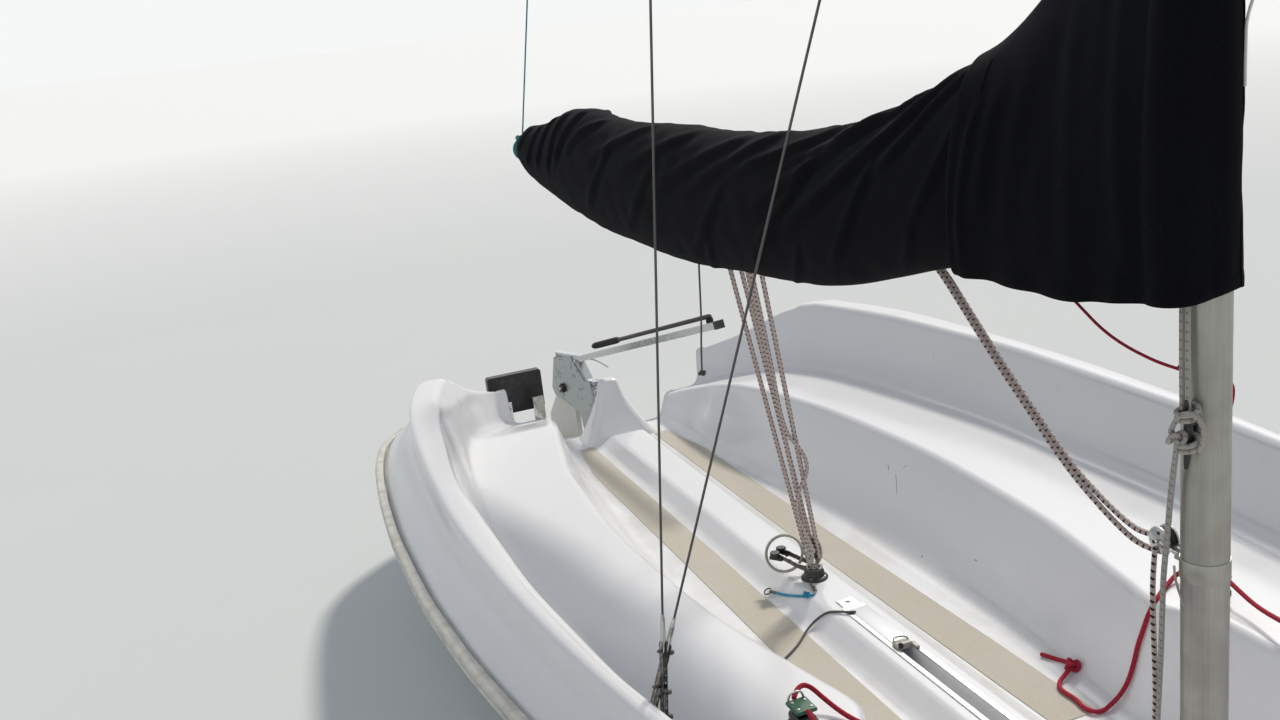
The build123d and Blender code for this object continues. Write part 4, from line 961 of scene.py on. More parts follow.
def surface_normal(points):
    """Unit normals of a grid of points, from the cross product of its two directions."""
    normal = np.cross(np.gradient(points, axis=0), np.gradient(points, axis=1))
    return normal / (np.linalg.norm(normal, axis=-1, keepdims=True) + 1e-12)


def creases(a, b, table):
    """Heights of soft folds on a cloth with coordinates a and b in metres: each is a round ridge between two
    points with a shallow valley beside it, fading out at both ends."""
    total = np.zeros(np.broadcast(a, b).shape)
    for a0, b0, a1, b1, depth, width in table:
        width = width / 1000
        run = np.array((a1 - a0, b1 - b0))
        length = np.hypot(*run)
        share = ((a - a0) * run[0] + (b - b0) * run[1]) / length**2
        across = (-(a - a0) * run[1] + (b - b0) * run[0]) / length + 0.10 * length * (share - 0.5) ** 2
        fade = ease(share / 0.25) * ease((1.12 - share) / 0.35)
        valley = np.exp(-(((across - 1.7 * width) / width) ** 2))
        total += depth / 1000 * fade * (np.exp(-((across / width) ** 2)) - 0.55 * valley)
    return total


def waves(a, b, seed, size, count=9):
    """Gentle unevenness: a sum of seeded sine waves about that size across, as a share of one."""
    random = np.random.default_rng(seed)
    total = np.zeros(np.broadcast(a, b).shape)
    for _ in range(count):
        way = random.uniform(0, np.pi)
        length = size * random.uniform(0.7, 1.6)
        total += np.sin(2 * np.pi * (a * np.cos(way) + b * np.sin(way)) / length
            + random.uniform(0, 2 * np.pi))
    return total / count


def cloth_piece(name, grids, body):
    """A cloth of one or more grids, each (points, flat coordinates in metres, share of bleaching), joined
    where their edges meet. The flat coordinates are its UV map, and the bleaching is an attribute."""
    points, flat, bleach = (np.concatenate([g[i].reshape(-1, n) for g in grids])
        for i, n in enumerate((3, 2, 1)))
    starts = np.cumsum([0] + [g[2].size for g in grids[:-1]])
    faces = np.concatenate([grid_faces(*g[2].shape) + start for g, start in zip(grids, starts)])
    mesh = bpy.data.meshes.new(name)
    mesh.from_pydata(points, [], faces.tolist())
    mesh.uv_layers.new(name="cloth").data.foreach_set("uv", flat[faces.ravel()].ravel())
    mesh.attributes.new("bleach", "FLOAT", "POINT").data.foreach_set("value", np.clip(bleach, 0, 1).ravel())
    shape = bmesh.new()
    shape.from_mesh(mesh)
    bmesh.ops.remove_doubles(shape, verts=shape.verts, dist=2e-4)
    bmesh.ops.recalc_face_normals(shape, faces=shape.faces)
    shape.to_mesh(mesh)
    shape.free()
    piece = shown(name, mesh, CANVAS, body)
    thickened(piece, CLOTH_THICKNESS)
    settled(piece)
    return piece


def half_section(ridge, hem, width, hem_width, round_top, t):
    """Half a section from ridge to hem: a cubic Bezier curve whose first handle runs sideways from a round
    top or down a steep one, and whose second keeps the side full."""
    t = t[None, :]
    tall = (ridge - hem)[:, None]
    ridge, hem, width, hem_width = (v[:, None] for v in (ridge, hem, width, hem_width))
    y1 = width * (0.20 + 1.00 * round_top)
    z1 = ridge - tall * 0.30 * (1 - round_top)
    y2 = width * (1.10 + 0.26 * round_top)
    z2 = hem + tall * (0.42 - 0.40 * round_top)
    y = 3 * (1 - t) ** 2 * t * y1 + 3 * (1 - t) * t**2 * y2 + t**3 * hem_width
    z = (1 - t) ** 3 * ridge + 3 * (1 - t) ** 2 * t * z1 + 3 * (1 - t) * t**2 * z2 + t**3 * hem
    return y, z


def boom_cover():
    """The part of the cover that lies along the boom: sections across the boom, closed under it, with drapes,
    tension creases that fan out aft and down from the ridge, and the hump over the sail's clew."""
    distance = np.linspace(0.330, 2.655, 320)
    places, *rows = np.array(COVER_ROWS).T
    low, high, half = (curve_through(places, row, distance) for row in rows)
    high = (high + 0.004 * waves(distance, 0 * distance, 3, 0.5)
        + 0.003 * waves(distance, 0 * distance, 8, 0.16))
    low = low + 0.006 * waves(distance, 0 * distance, 5, 0.6)
    share = np.linspace(0, 1, 60)
    grids = []
    for hand in (-1, 1):
        y, z = half_section(high, low, half, np.full_like(distance, 0.003), 1.0, share)
        along = distance[:, None] + 0 * y
        down = COVER_DEPTH * share[None, :] + 0 * along
        point = on_boom(along, hand * y, z)
        # the port side's creases lie further aft
        aft = 0 if hand < 0 else 0.09
        table = [(a + aft, b * COVER_DEPTH, c + 0.6 * aft, d * COVER_DEPTH, *size)
            for a, b, c, d, *size in COVER_CREASES]
        shift = creases(along, down, table) + 0.006 * waves(along, down, 11 + hand, 0.34)
        shift = shift + 0.0022 * waves(along * 1.4, down, 17 + hand, 0.10)
        shift *= ease((1 - share) / 0.12) * ease(share / 0.04)
        shift *= ease((along - 0.33) / 0.03) * ease((2.660 - along) / 0.03)
        # both halves are pushed away from the boom's own plane
        normal = surface_normal(point)
        normal *= np.sign((normal[:, len(share) // 2] @ BOOM_PORT) * hand)[:, None, None]
        bleach = np.exp(-((down / 0.13) ** 2)) * (0.2 + 0.5 * ease((along - 1.6) / 0.9))
        grids.append((point + normal * shift[..., None], np.stack([along, hand * down], -1), bleach))
    return cloth_piece("boom_cover", grids, "boom")


# The boot's front seam lies this far round the mast from dead ahead, to port
SEAM = 0.58


def boot_half(hand, t):
    """One side of the boot: tent sections along the boom, then rows that turn round the mast to its seam."""
    distance = np.linspace(0.385, -0.032, 80)
    places, *rows = np.array(BOOT_ROWS).T
    hem, ridge, half = (curve_through(places, row, distance) for row in rows)
    steep = ease((0.46 - distance) / 0.30)
    y, z = half_section(ridge, hem, half * 0.97, half * 0.94, (1 - 0.9 * steep)[:, None], t)
    tent = on_boom(distance[:, None], hand * y, z)
    last = tent[-1]
    reach = MAST_X - last[:, 0]
    angle_start = np.arctan2(hand * last[:, 1], reach)
    radius_start = np.hypot(last[:, 1], reach)
    v = np.linspace(0, 1, 40)[1:, None]
    front = 0.0415 + 0.004 * t[None, :]
    close = 3.0 if hand > 0 else 1.7
    angle = angle_start + (np.pi - SEAM * hand - angle_start) * v
    radius = radius_start + (front - radius_start) * ease(v * close)
    lift = 0.018 * ease(v) * t[None, :] ** 1.5
    wrap = np.stack([MAST_X - radius * np.cos(angle), hand * radius * np.sin(angle), last[:, 2] + lift], -1)
    point = np.concatenate([tent, wrap])
    step = np.linalg.norm(np.diff(point[:, 40], axis=0), axis=1)
    along = np.concatenate([[0], np.cumsum(step)])[:, None] + 0 * point[..., 0]
    return point, along


def mast_boot():
    """The front of the cover: a tent from the ridge to an open hem that goes round the mast and closes at the
    seam on its port bow, with soft vertical folds behind the seam and a doubled hem 26 mm deep."""
    t = np.linspace(0, 1, 70)
    grids = []
    for hand in (-1, 1):
        point, along = boot_half(hand, t)
        height = (point - GOOSENECK) @ BOOM_UP
        distance = (point - GOOSENECK) @ BOOM_AFT
        shift = creases(distance, height, BOOT_CREASES if hand < 0 else BOOT_CREASES[2:])
        shift = (shift + 0.0045 * waves(along, height, 23 + hand, 0.30)
            + 0.0012 * waves(along, height, 29 + hand, 0.08))
        shift = shift + 0.004 * np.sin(along * 2 * np.pi / 0.13) * t[None, :] ** 6
        shift *= ease(t / 0.03)[None, :] * ease(along / 0.02)
        shift = shift + 0.0014 * ease((0.026 - height + height[:, -1:]) / 0.002)
        # past the mast's back the two halves face away from the mast, not from the boom
        normal = surface_normal(point)
        away = point - (MAST_X - 0.12, 0, 0)
        away[..., 2] = 0
        normal *= np.sign((normal * away).sum(-1))[..., None]
        point = point + normal * np.maximum(shift, -0.004)[..., None]
        down = height[:, :1] - height
        bleach = 0.75 * np.exp(-(((distance - 0.24) / 0.085) ** 2)) * np.exp(-((down / 0.10) ** 2))
        grids.append((point, np.stack([along, hand * down], -1), bleach))
    return cloth_piece("mast_boot", grids, None)


cover = boom_cover()
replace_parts(cover, "sail_cover")
boot = mast_boot()
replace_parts(boot, "cover_boot")
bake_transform(boot)


# Standing rigging

SIDES = ((1, "port"), (-1, "starboard"))
UP = np.array((0, 0, 1.0))
# Station, half breadth and height of each point
CHAINPLATE = (2.584, 0.776, 0.520)
SPREADER_TIP = (2.649, 0.494, 3.542)
LOWER_TOP = (2.995, 0.012, 3.228)
HOUND_TOP = (3.025, 0.038, 5.300)
ADJUSTER_LENGTH = 0.135
PLATE_THICKNESS = 0.0016
WIRE_DIAMETER = 0.0044
SWAGE = ((0, -0.012), (0.0045, -0.012), (0.0048, 0.0), (0.0044, 0.045), (0.0031, 0.056), (0.0022, 0.058),
    (0, 0.058))


def at(station, y, z):
    """A point by its station, its distance to port and its height."""
    return np.array((TRANSOM_X + station, y, z))


def beside(place, hand):
    """A point of the rigging on one side of the boat."""
    return at(place[0], hand * place[1], place[2])


def stay_foot(end, side, hand):
    """Where a shroud's adjuster starts on the chainplate, and its unit direction."""
    foot = at(CHAINPLATE[0] - 0.009 * side, hand * (CHAINPLATE[1] + side * 0.009), CHAINPLATE[2])
    way = beside(end, hand) - foot
    return foot, way / np.linalg.norm(way)


def perforated_strap(length, width, holes, radius):
    """A flat strap with a row of round holes: a chain of cells, each eight faces between a square and a
    circle, with half-round ends. It lies in x and y and gets its thickness afterwards."""
    pitch = (length - width) / holes
    a = np.arange(8) * np.pi / 4
    square = np.array([(1, 0), (1, 1), (0, 1), (-1, 1), (-1, 0), (-1, -1), (0, -1), (1, -1)], float)
    ring = [[k, (k + 1) % 8, 8 + (k + 1) % 8, 8 + k] for k in range(8)]
    parts = []
    for i in range(holes):
        centre = np.array((width / 2 + pitch * (i + 0.5), 0))
        outer = centre + square * (pitch / 2, width / 2)
        inner = centre + radius * np.stack([np.cos(a), np.sin(a)], -1)
        parts.append((np.column_stack([np.vstack([outer, inner]), np.zeros(16)]), ring))
    b = np.linspace(-np.pi / 2, np.pi / 2, 9)
    for end, sign in ((length - width / 2, 1), (width / 2, -1)):
        arc = np.column_stack([end + sign * width / 2 * np.cos(b), width / 2 * np.sin(b), np.zeros(9)])
        parts.append((arc, [list(range(9))]))
    return joined(parts)


def shroud_adjusters():
    """Two perforated straps a side, doubled and pinned, with the fork of each wire between them."""
    straps, pins = [], []
    shape = moved(perforated_strap(ADJUSTER_LENGTH + 0.024, 0.016, 9, 0.0030), (-0.012, 0, 0))
    for hand, _ in SIDES:
        for end, side, middle_pin in ((SPREADER_TIP, -1, 0.048), (LOWER_TOP, 1, 0.060)):
            foot, way = stay_foot(end, side, hand)
            # the strap's length lies along the wire and its flat faces abeam
            across = np.cross(way, (1, 0, 0))
            across /= np.linalg.norm(across)
            for gap in (-0.0038, 0.0038):
                straps.append(placed(shape, foot + across * gap, way, across))
            for reach, size in ((0.0, 0.004), (middle_pin, 0.003), (ADJUSTER_LENGTH - 0.006, 0.003)):
                near, far, head = (foot + way * reach + across * out for out in (-0.0085, 0.0085, 0.0102))
                pins += [tube_shape([near, far], size, 10), tube_shape([far, head], size * 1.6, 10)]
    piece = make_piece("adjuster_straps", *joined(straps), STEEL_IN_SHADE, "hull", smooth=False, merge=1e-5)
    thickened(piece, PLATE_THICKNESS)
    edge = piece.modifiers.new("edge", "BEVEL")
    edge.width = 0.0003
    edge.segments = 1
    settled(piece)
    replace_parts(piece, "shroud_adjusters")
    make_piece("adjuster_pins", *joined(pins), STEEL_IN_SHADE, "hull", sharp=40)


def stay(name, points, *replaced):
    """One wire of 4 mm, straight between its points, with a swaged end of 9 mm at its foot."""
    wires = [rope(f"{name}_{i}", ends, WIRE_DIAMETER, WIRE, "hull", straight=True, sides=10)[0]
             for i, ends in enumerate(zip(points[:-1], points[1:]))]
    swage = placed(turned(SWAGE, 14), points[0], (1, 0, 0), np.subtract(points[1], points[0]))
    make_piece(f"{name}_swage", *swage, STEEL, "hull", sharp=40)
    if replaced:
        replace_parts(wires[0], *replaced)


def add_stays():
    """The adjusters, the cap and lower shrouds on both sides, and the forestay across its solid's box."""
    shroud_adjusters()
    for hand, side_name in SIDES:
        for kind, side, places in (("cap", -1, (SPREADER_TIP, HOUND_TOP)), ("lower", 1, (LOWER_TOP,))):
            foot, way = stay_foot(places[0], side, hand)
            points = [foot + way * (ADJUSTER_LENGTH + 0.004)] + [beside(place, hand) for place in places]
            stay(f"{kind}_shroud_{side_name}", points, *([f"{kind}_shrouds"] if hand > 0 else []))
    low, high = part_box("forestay")
    stay("forestay_wire", [(high[0] - 0.002, 0, low[2]), (low[0] + 0.002, 0, high[2])], "forestay")


def furled_jib():
    """The jib rolled on its stay: a slim cone whose radius steps once a turn where the leech spirals round
    it, one turn every 0.42 m, tied twice with sheet near the clew. Its axis lies in its solid's box."""
    low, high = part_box("furled_jib")
    foot = np.array((high[0] - 0.0155, 0, low[2] + 0.0041))
    head = np.array((low[0] + 0.0106, 0, high[2] - 0.0028))
    length = np.linalg.norm(head - foot)
    way = (head - foot) / length
    abeam = np.array((0, 1, 0))
    side = np.cross(way, abeam)
    rows, sides = 330, 48
    s = np.linspace(0, 1, rows)[:, None]
    a = np.linspace(0, 2 * np.pi, sides, endpoint=False)[None, :]
    body = curve_through((0, 0.008, 0.038, 0.10, 0.30, 0.7, 0.97, 1),
                         (0.0150, 0.0210, 0.0420, 0.0455, 0.0405, 0.0265, 0.0135, 0.0105), s)
    turn = (a / (2 * np.pi) - s * length / 0.42) % 1
    step = 0.0026 * (turn - 0.5) + 0.0036 * waves(s * length, a * 0.04, 41, 0.22)
    radius = body * 0.97 + step
    points = foot + way * (s * length)[..., None] + (radius * np.cos(a))[..., None] * side
    points = points + (radius * np.sin(a))[..., None] * abeam
    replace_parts(make_piece("furled_jib_roll", points, skin_faces(rows, sides), SAIL, "hull", sharp=50),
        "furled_jib")
    for i, height in enumerate((0.30, 0.52)):
        run = np.linspace(0, 2 * np.pi * 2.2, 60)
        centre = foot + way * (height + 0.0035 * run / np.pi)[:, None]
        r = float(curve_through((0.038, 0.1, 0.3), (0.0420, 0.0455, 0.0405), height / length)) + 0.0045
        path = centre + r * (np.cos(run)[:, None] * side + np.sin(run)[:, None] * abeam)
        tube_piece(f"jib_tie_{i}", path, 0.007, RED_ROPE, "hull")


# Running rigging


def free_rope(name, points, diameter, material, body="hull"):
    """A free rope along the given points."""
    piece, path = rope(name, points, diameter, material, body)


def crossing_rope(name, points, diameter, material, low, high, straight=False):
    """A rope from the hull to the boom."""
    piece, _ = rope(name, points, diameter, material, None, straight=straight)
    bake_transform(piece)


def knot(name, centre, size, thickness, material, body="hull", turn=0.0):
    """An overhand knot drawn tight: a tube along a trefoil, x = sin t + 2 sin 2t, y = cos t - 2 cos 2t,
    z = -1.6 sin 3t, shrunk to the knot's size."""
    t = np.linspace(0, 2 * np.pi, 72, endpoint=False) + turn
    line = np.stack([np.sin(t) + 2 * np.sin(2 * t), np.cos(t) - 2 * np.cos(2 * t), -1.6 * np.sin(3 * t)], -1)
    line = np.vstack([line, line[:1]]) * size / 6
    return tube_piece(name, np.asarray(centre) + line, thickness, material, body)


def coil_round(centre, axis, radius, turns, pitch=0.0, lead=0.0):
    """Points of a helix about an axis, for a rope's turns round a spar or a cleat."""
    axis = np.asarray(axis, float) / np.linalg.norm(axis)
    side = np.cross(axis, (0, 0, 1) if abs(axis[2]) < 0.9 else (1, 0, 0))
    side /= np.linalg.norm(side)
    other = np.cross(axis, side)
    a = lead + np.linspace(0, 2 * np.pi * turns, int(24 * turns) + 1)
    circle = np.cos(a)[:, None] * side + np.sin(a)[:, None] * other
    return np.asarray(centre) + radius * circle + axis * (pitch * (a - lead) / (2 * np.pi))[:, None]


def mainsheet():
    """Four falls of 12 mm rope from the boom's blocks to the block on the console, and the slack end that
    bulges out of them half way up."""
    feet = ((-0.560, -0.008), (-0.548, 0.008), (-0.530, -0.009), (-0.517, 0.008))
    heads = ((1.420, -0.010), (1.400, 0.012), (1.325, -0.004), (1.275, 0.010))
    ends = ((-0.538, 0.0, 0.285), on_boom(1.35, 0, -0.275))
    for i, (foot, head) in enumerate(zip(feet, heads)):
        line = [(*foot, 0.268), on_boom(*head, -0.036)]
        crossing_rope(f"mainsheet_fall_{i}", line, 0.012, SHEET_ROPE, *ends, straight=True)
    slack = [
        (-0.508, -0.010, 0.29), (-0.512, -0.022, 0.33), (-0.520, -0.040, 0.38), (-0.518, -0.046, 0.43),
        (-0.510, -0.034, 0.474), (-0.504, -0.014, 0.508), (-0.503, -0.012, 0.545), (-0.508, -0.028, 0.585),
        (-0.518, -0.054, 0.620), (-0.524, -0.066, 0.69), (-0.524, -0.076, 0.80), (-0.524, -0.094, 0.95),
        (-0.522, -0.114, 1.10), on_boom(1.225, -0.016, -0.038),
    ]
    crossing_rope("mainsheet_tail", slack, 0.010, SHEET_ROPE, *ends)


def vang():
    """Two slack falls from under the boom to the block low on the mast, and the end that hangs from it."""
    sag = (
        (0.750, 0, 0.783), (0.712, -0.004, 0.772), (0.660, -0.009, 0.784), (0.565, -0.018, 0.838),
        (0.507, -0.024, 0.886), (0.447, -0.030, 0.942), (0.373, -0.037, 1.010), (0.283, -0.046, 1.102),
        (0.205, -0.053, 1.180),
    )
    # side by side below the boom, apart before the block, then over and under its sheave
    reach = (0.20, 0.45, 0.60, 0.68, 0.71, 0.75)
    abreast = (0.85, 0.80, 0.95, 1.0, 0.6, 0.0)
    above = (0.5, 0.5, 0.6, 1.5, 2.4, 3.5)
    for i, side in enumerate((-0.0045, 0.0045)):
        line = [(x, y + side * np.interp(x, reach, abreast), z + side * np.interp(x, reach, above))
            for x, y, z in sag]
        line.append(on_boom(0.700 + 0.03 * i, side, -0.036))
        crossing_rope(f"vang_fall_{i}", line, 0.010, SHEET_ROPE, (0.705, -0.005, 0.776), sag[7])
    free_rope("vang_end", [
        (0.738, -0.012, 0.772), (0.742, -0.020, 0.735), (0.752, -0.030, 0.680), (0.765, -0.038, 0.600),
        (0.772, -0.042, 0.500), (0.770, -0.047, 0.400),
    ], 0.009, SHEET_ROPE)
    free_rope("vang_tail", [
        (0.800, -0.030, 0.770), (0.814, -0.042, 0.762), (0.826, -0.046, 0.745), (0.838, -0.046, 0.722),
    ], 0.004, GREY_ROPE)


def topping_lift():
    """The thin line from the boom's end to the masthead, and its lashing round the end of the boom. Its head
    is on the axis that the boom swings about, so it turns with the boom."""
    rope("topping_lift", [(0.755, 0, 6.925), on_boom(2.704, 0, 0.036)], 0.005, TEAL_ROPE, "boom",
        straight=True)
    for i, distance in enumerate((2.700, 2.708)):
        path = coil_round(on_boom(distance, 0, 0), BOOM_AFT, 0.0352, 1.0)
        tube_piece(f"boom_end_lashing_{i}", path, 0.0056, TEAL_ROPE, "boom")
    knot("boom_end_knot", on_boom(2.704, -0.012, 0.040), 0.020, 0.005, TEAL_ROPE, "boom")


# The starboard horn cleat sits this far forward of abeam round the mast, and the port one as far aft
CLEAT_TURN = math.radians(20)
CLEAT = np.array((MAST_X, 0, 1.012))


def round_mast(points):
    """Points given from the cleats' middle on the mast's axis, turned forward about that axis."""
    p = np.asarray(points, float)
    c, k = math.cos(CLEAT_TURN), math.sin(CLEAT_TURN)
    return np.stack([p[..., 0] * c - p[..., 1] * k, p[..., 0] * k + p[..., 1] * c, p[..., 2]], -1) + CLEAT


def beside_mast(places):
    """Points by their bearing round the mast in degrees, distance from the mast's axis, and height."""
    bearing, radius, height = np.array(places, float).T
    a = np.radians(bearing)
    return np.column_stack([MAST_X + radius * np.cos(a), radius * np.sin(a), height])


def halyards():
    """Two halyards down the mast's starboard face to the horn cleat, hitched there, their ends hanging."""
    for i, (x, y) in enumerate(((0.843, -0.041), (0.832, -0.0425))):
        line = [(x, y, 1.95), (x, y - 0.002, 1.30), (x + 0.004, y - 0.007, 1.12),
            (x + 0.012, y - 0.013, 1.050)]
        rope(f"halyard_{i}", line, 0.008, GREY_ROPE, "hull")
    for i, (lift, lead) in enumerate(((0.024, 0.4), (-0.022, 2.0))):
        path = round_mast(coil_round((0, -0.054, lift), (0, -0.25, 1), 0.0155, 2.0, 0.009, lead))
        tube_piece(f"halyard_hitch_{i}", path, 0.008, GREY_ROPE, "hull")
    loop = ((0.020, -0.060, -0.020), (0.030, -0.064, 0), (0.028, -0.067, 0.026), (0.010, -0.069, 0.040),
            (-0.010, -0.071, 0.030), (-0.018, -0.072, 0.006))
    free_rope("halyard_loop", round_mast(loop), 0.008, GREY_ROPE)
    knot("halyard_knot", round_mast((-0.012, -0.068, -0.004)), 0.026, 0.008, GREY_ROPE)
    start = round_mast((-0.012, -0.066, -0.016))
    for i, (shift, low) in enumerate((((0, 0, 0), 0.345), ((-0.009, 0.007, 0), 0.400))):
        points = [(0.824, -0.052, 0.945), (0.812, -0.048, 0.891), (0.803, -0.046, 0.821),
            (0.794, -0.046, 0.748), (0.791, -0.045, 0.677), (0.785, -0.045, 0.566), (0.779, -0.046, 0.470),
            (0.782, -0.050, low)]
        free_rope(f"halyard_end_{i}", [start, *np.add(points, shift)], 0.008, GREY_ROPE)


CLEW_Z = 1.080


def jib_sheets():
    """The red jib sheets: each hangs from the furled sail to the foredeck, lies along it and sags from its
    edge to the cleat, and its end lies in the cockpit."""
    free_rope("jib_sheet_port", [
        (2.004, 0.040, CLEW_Z), (1.945, 0.062, 0.950), (1.865, 0.100, 0.805), (1.760, 0.150, 0.690),
        (1.640, 0.200, 0.6260), (1.520, 0.240, 0.6120), (1.440, 0.264, 0.6111), (1.360, 0.285, 0.6099),
        (1.280, 0.301, 0.6079), (1.200, 0.315, 0.6054), (1.140, 0.326, 0.6033), (1.090, 0.335, 0.6012),
        (1.020, 0.348, 0.5925), (0.940, 0.363, 0.5600), (0.830, 0.385, 0.5130), (0.710, 0.412, 0.4680),
        (0.600, 0.437, 0.4370), (0.510, 0.459, 0.4240), (0.445, 0.474, 0.4260), (0.385, 0.486, 0.4385),
    ], 0.010, RED_ROPE)
    tassel = knot("sheet_end_knot", (0.131, 0.296, 0.172), 0.030, 0.010, RED_ROPE)
    free_rope("jib_sheet_port_end", [
        (0.330, 0.487, 0.4385), (0.300, 0.484, 0.4330), (0.268, 0.466, 0.408), (0.280, 0.432, 0.3985),
        (0.300, 0.396, 0.3985), (0.319, 0.364, 0.396), (0.317, 0.346, 0.368), (0.310, 0.337, 0.328),
        (0.304, 0.328, 0.292), (0.303, 0.319, 0.254), (0.301, 0.306, 0.213), (0.295, 0.290, 0.182),
        (0.289, 0.272, 0.163), (0.293, 0.248, 0.1555), (0.290, 0.226, 0.1575), (0.262, 0.218, 0.1575),
        (0.230, 0.227, 0.1575), (0.185, 0.222, 0.1575), (0.158, 0.236, 0.1575), (0.142, 0.262, 0.1590),
        (0.134, 0.288, 0.1680),
    ], 0.010, RED_ROPE)
    free_rope("sheet_end_port", [
        (0.124, 0.300, 0.1690), (0.104, 0.304, 0.1640), (0.080, 0.300, 0.1590), (0.058, 0.293, 0.1580),
        (0.036, 0.286, 0.1570),
    ], 0.010, RED_ROPE)
    free_rope("jib_sheet_starboard", [
        (2.004, -0.040, CLEW_Z), (1.940, -0.080, 0.945), (1.865, -0.135, 0.800), (1.775, -0.205, 0.685),
        (1.670, -0.280, 0.6210), (1.560, -0.345, 0.6068), (1.490, -0.380, 0.6058), (1.420, -0.410, 0.6054),
        (1.340, -0.441, 0.6046), (1.270, -0.465, 0.6035), (1.200, -0.486, 0.6022), (1.140, -0.505, 0.6010),
        (1.060, -0.522, 0.5965), (0.980, -0.530, 0.5640), (0.870, -0.528, 0.5170), (0.740, -0.520, 0.4700),
        (0.620, -0.508, 0.4370), (0.520, -0.499, 0.4240), (0.450, -0.493, 0.4260), (0.385, -0.488, 0.4385),
    ], 0.010, RED_ROPE)
    free_rope("jib_sheet_starboard_end", [
        (0.328, -0.488, 0.4385), (0.305, -0.470, 0.4420), (0.300, -0.445, 0.4400), (0.330, -0.425, 0.4150),
        (0.375, -0.410, 0.4020), (0.425, -0.392, 0.3990), (0.465, -0.372, 0.3900), (0.490, -0.345, 0.330),
        (0.510, -0.325, 0.230), (0.530, -0.300, 0.1600), (0.580, -0.255, 0.1585),
    ], 0.010, RED_ROPE)


def small_lines():
    """The thin red line from the cover to the mast, the grey elastic at the board slot, the blue strop by the
    mainsheet block, the line that hangs from the cover, and the rudder's control line."""
    line = [(0.560, -0.060, 1.205), (0.615, -0.052, 1.165), (0.665, -0.050, 1.135), (0.715, -0.048, 1.118),
            (0.765, -0.045, 1.108), (0.795, -0.042, 1.104), (0.818, -0.036, 1.101)]
    crossing_rope("cover_line", line, 0.005, RED_ROPE, line[-1], line[0])
    # behind the mast and under the port cleat
    turn = ((247, 0.0390, 1.101), (225, 0.0388, 1.100), (200, 0.0387, 1.098), (175, 0.0387, 1.093),
            (150, 0.0387, 1.080), (135, 0.0390, 1.058), (126, 0.0395, 1.030), (123, 0.0400, 1.005),
            (117, 0.0405, 0.9870), (110, 0.0405, 0.9840), (103, 0.0405, 0.9870), (97, 0.0405, 1.001))
    tube_piece("cover_line_turn", spline_points(beside_mast(turn)), 0.005, RED_ROPE, "hull")
    loop = ((96.5, 0.0405, 1.003), (89, 0.0430, 1.020), (82.3, 0.0450, 1.038), (79.9, 0.0455, 1.057),
            (85, 0.0450, 1.0668), (97.5, 0.0435, 1.0712), (110, 0.0430, 1.0668), (115.1, 0.0425, 1.057),
            (115.3, 0.0415, 1.042))
    free_rope("cover_line_loop", beside_mast(loop), 0.005, RED_ROPE)
    free_rope("slot_elastic", [
        (-0.300, -0.014, 0.2060), (-0.312, -0.034, 0.2055), (-0.330, -0.050, 0.2040),
        (-0.350, -0.064, 0.1980), (-0.368, -0.083, 0.1790), (-0.372, -0.108, 0.1590),
        (-0.350, -0.135, 0.1550), (-0.318, -0.165, 0.1550), (-0.293, -0.196, 0.1550),
        (-0.270, -0.228, 0.1550), (-0.255, -0.252, 0.1550), (-0.246, -0.276, 0.1600),
    ], 0.006, DARK_ROPE)
    snap = make_piece("strop_shackle", *joined([
        tube_shape(coil_round((-0.606, -0.109, 0.1605), (0.05, -0.5, 1), 0.0105, 1.0), 0.0020, 8),
        tube_shape([(-0.597, -0.105, 0.1625), (-0.578, -0.0985, 0.1655)], 0.0045, 10),
    ]), STEEL_IN_SHADE, "hull")
    wire = [(-0.508, -0.030, 0.2050), (-0.490, -0.034, 0.2030), (-0.470, -0.036, 0.2025),
        (-0.452, -0.042, 0.2030), (-0.446, -0.052, 0.2015)]
    link = make_piece("strop_link", *joined([
        tube_shape(spline_points(wire), 0.0022, 10),
        tube_shape([(-0.480, -0.035, 0.2045), (-0.462, -0.038, 0.2045)], 0.0042, 10),
    ]), STEEL_IN_SHADE, "hull")
    free_rope("blue_strop", [
        (-0.446, -0.052, 0.2020), (-0.452, -0.062, 0.1985), (-0.470, -0.069, 0.1920),
        (-0.500, -0.078, 0.1830), (-0.530, -0.086, 0.1745), (-0.556, -0.093, 0.1680),
        (-0.576, -0.098, 0.1655),
    ], 0.007, BLUE_ROPE)
    knot("blue_strop_bow", (-0.462, -0.066, 0.1990), 0.018, 0.006, BLUE_ROPE, turn=0.7)
    tip = knot("hanging_line_knot", (-0.742, -0.178, 0.760), 0.018, 0.005, DARK_ROPE, "boom")
    free_rope("hanging_line", [
        (-0.700, -0.172, 1.070), (-0.706, -0.174, 1.000), (-0.716, -0.176, 0.900), (-0.732, -0.178, 0.830),
        (-0.741, -0.178, 0.770),
    ], 0.005, DARK_ROPE, body="boom")
    line = [(-2.380, -0.012, 0.4010), (-2.330, 0.004, 0.4060), (-2.270, 0.020, 0.4000),
        (-2.235, 0.030, 0.3900)]
    rope("rudder_line", line, 0.004, GREY_ROPE, "rudder")


# Fittings


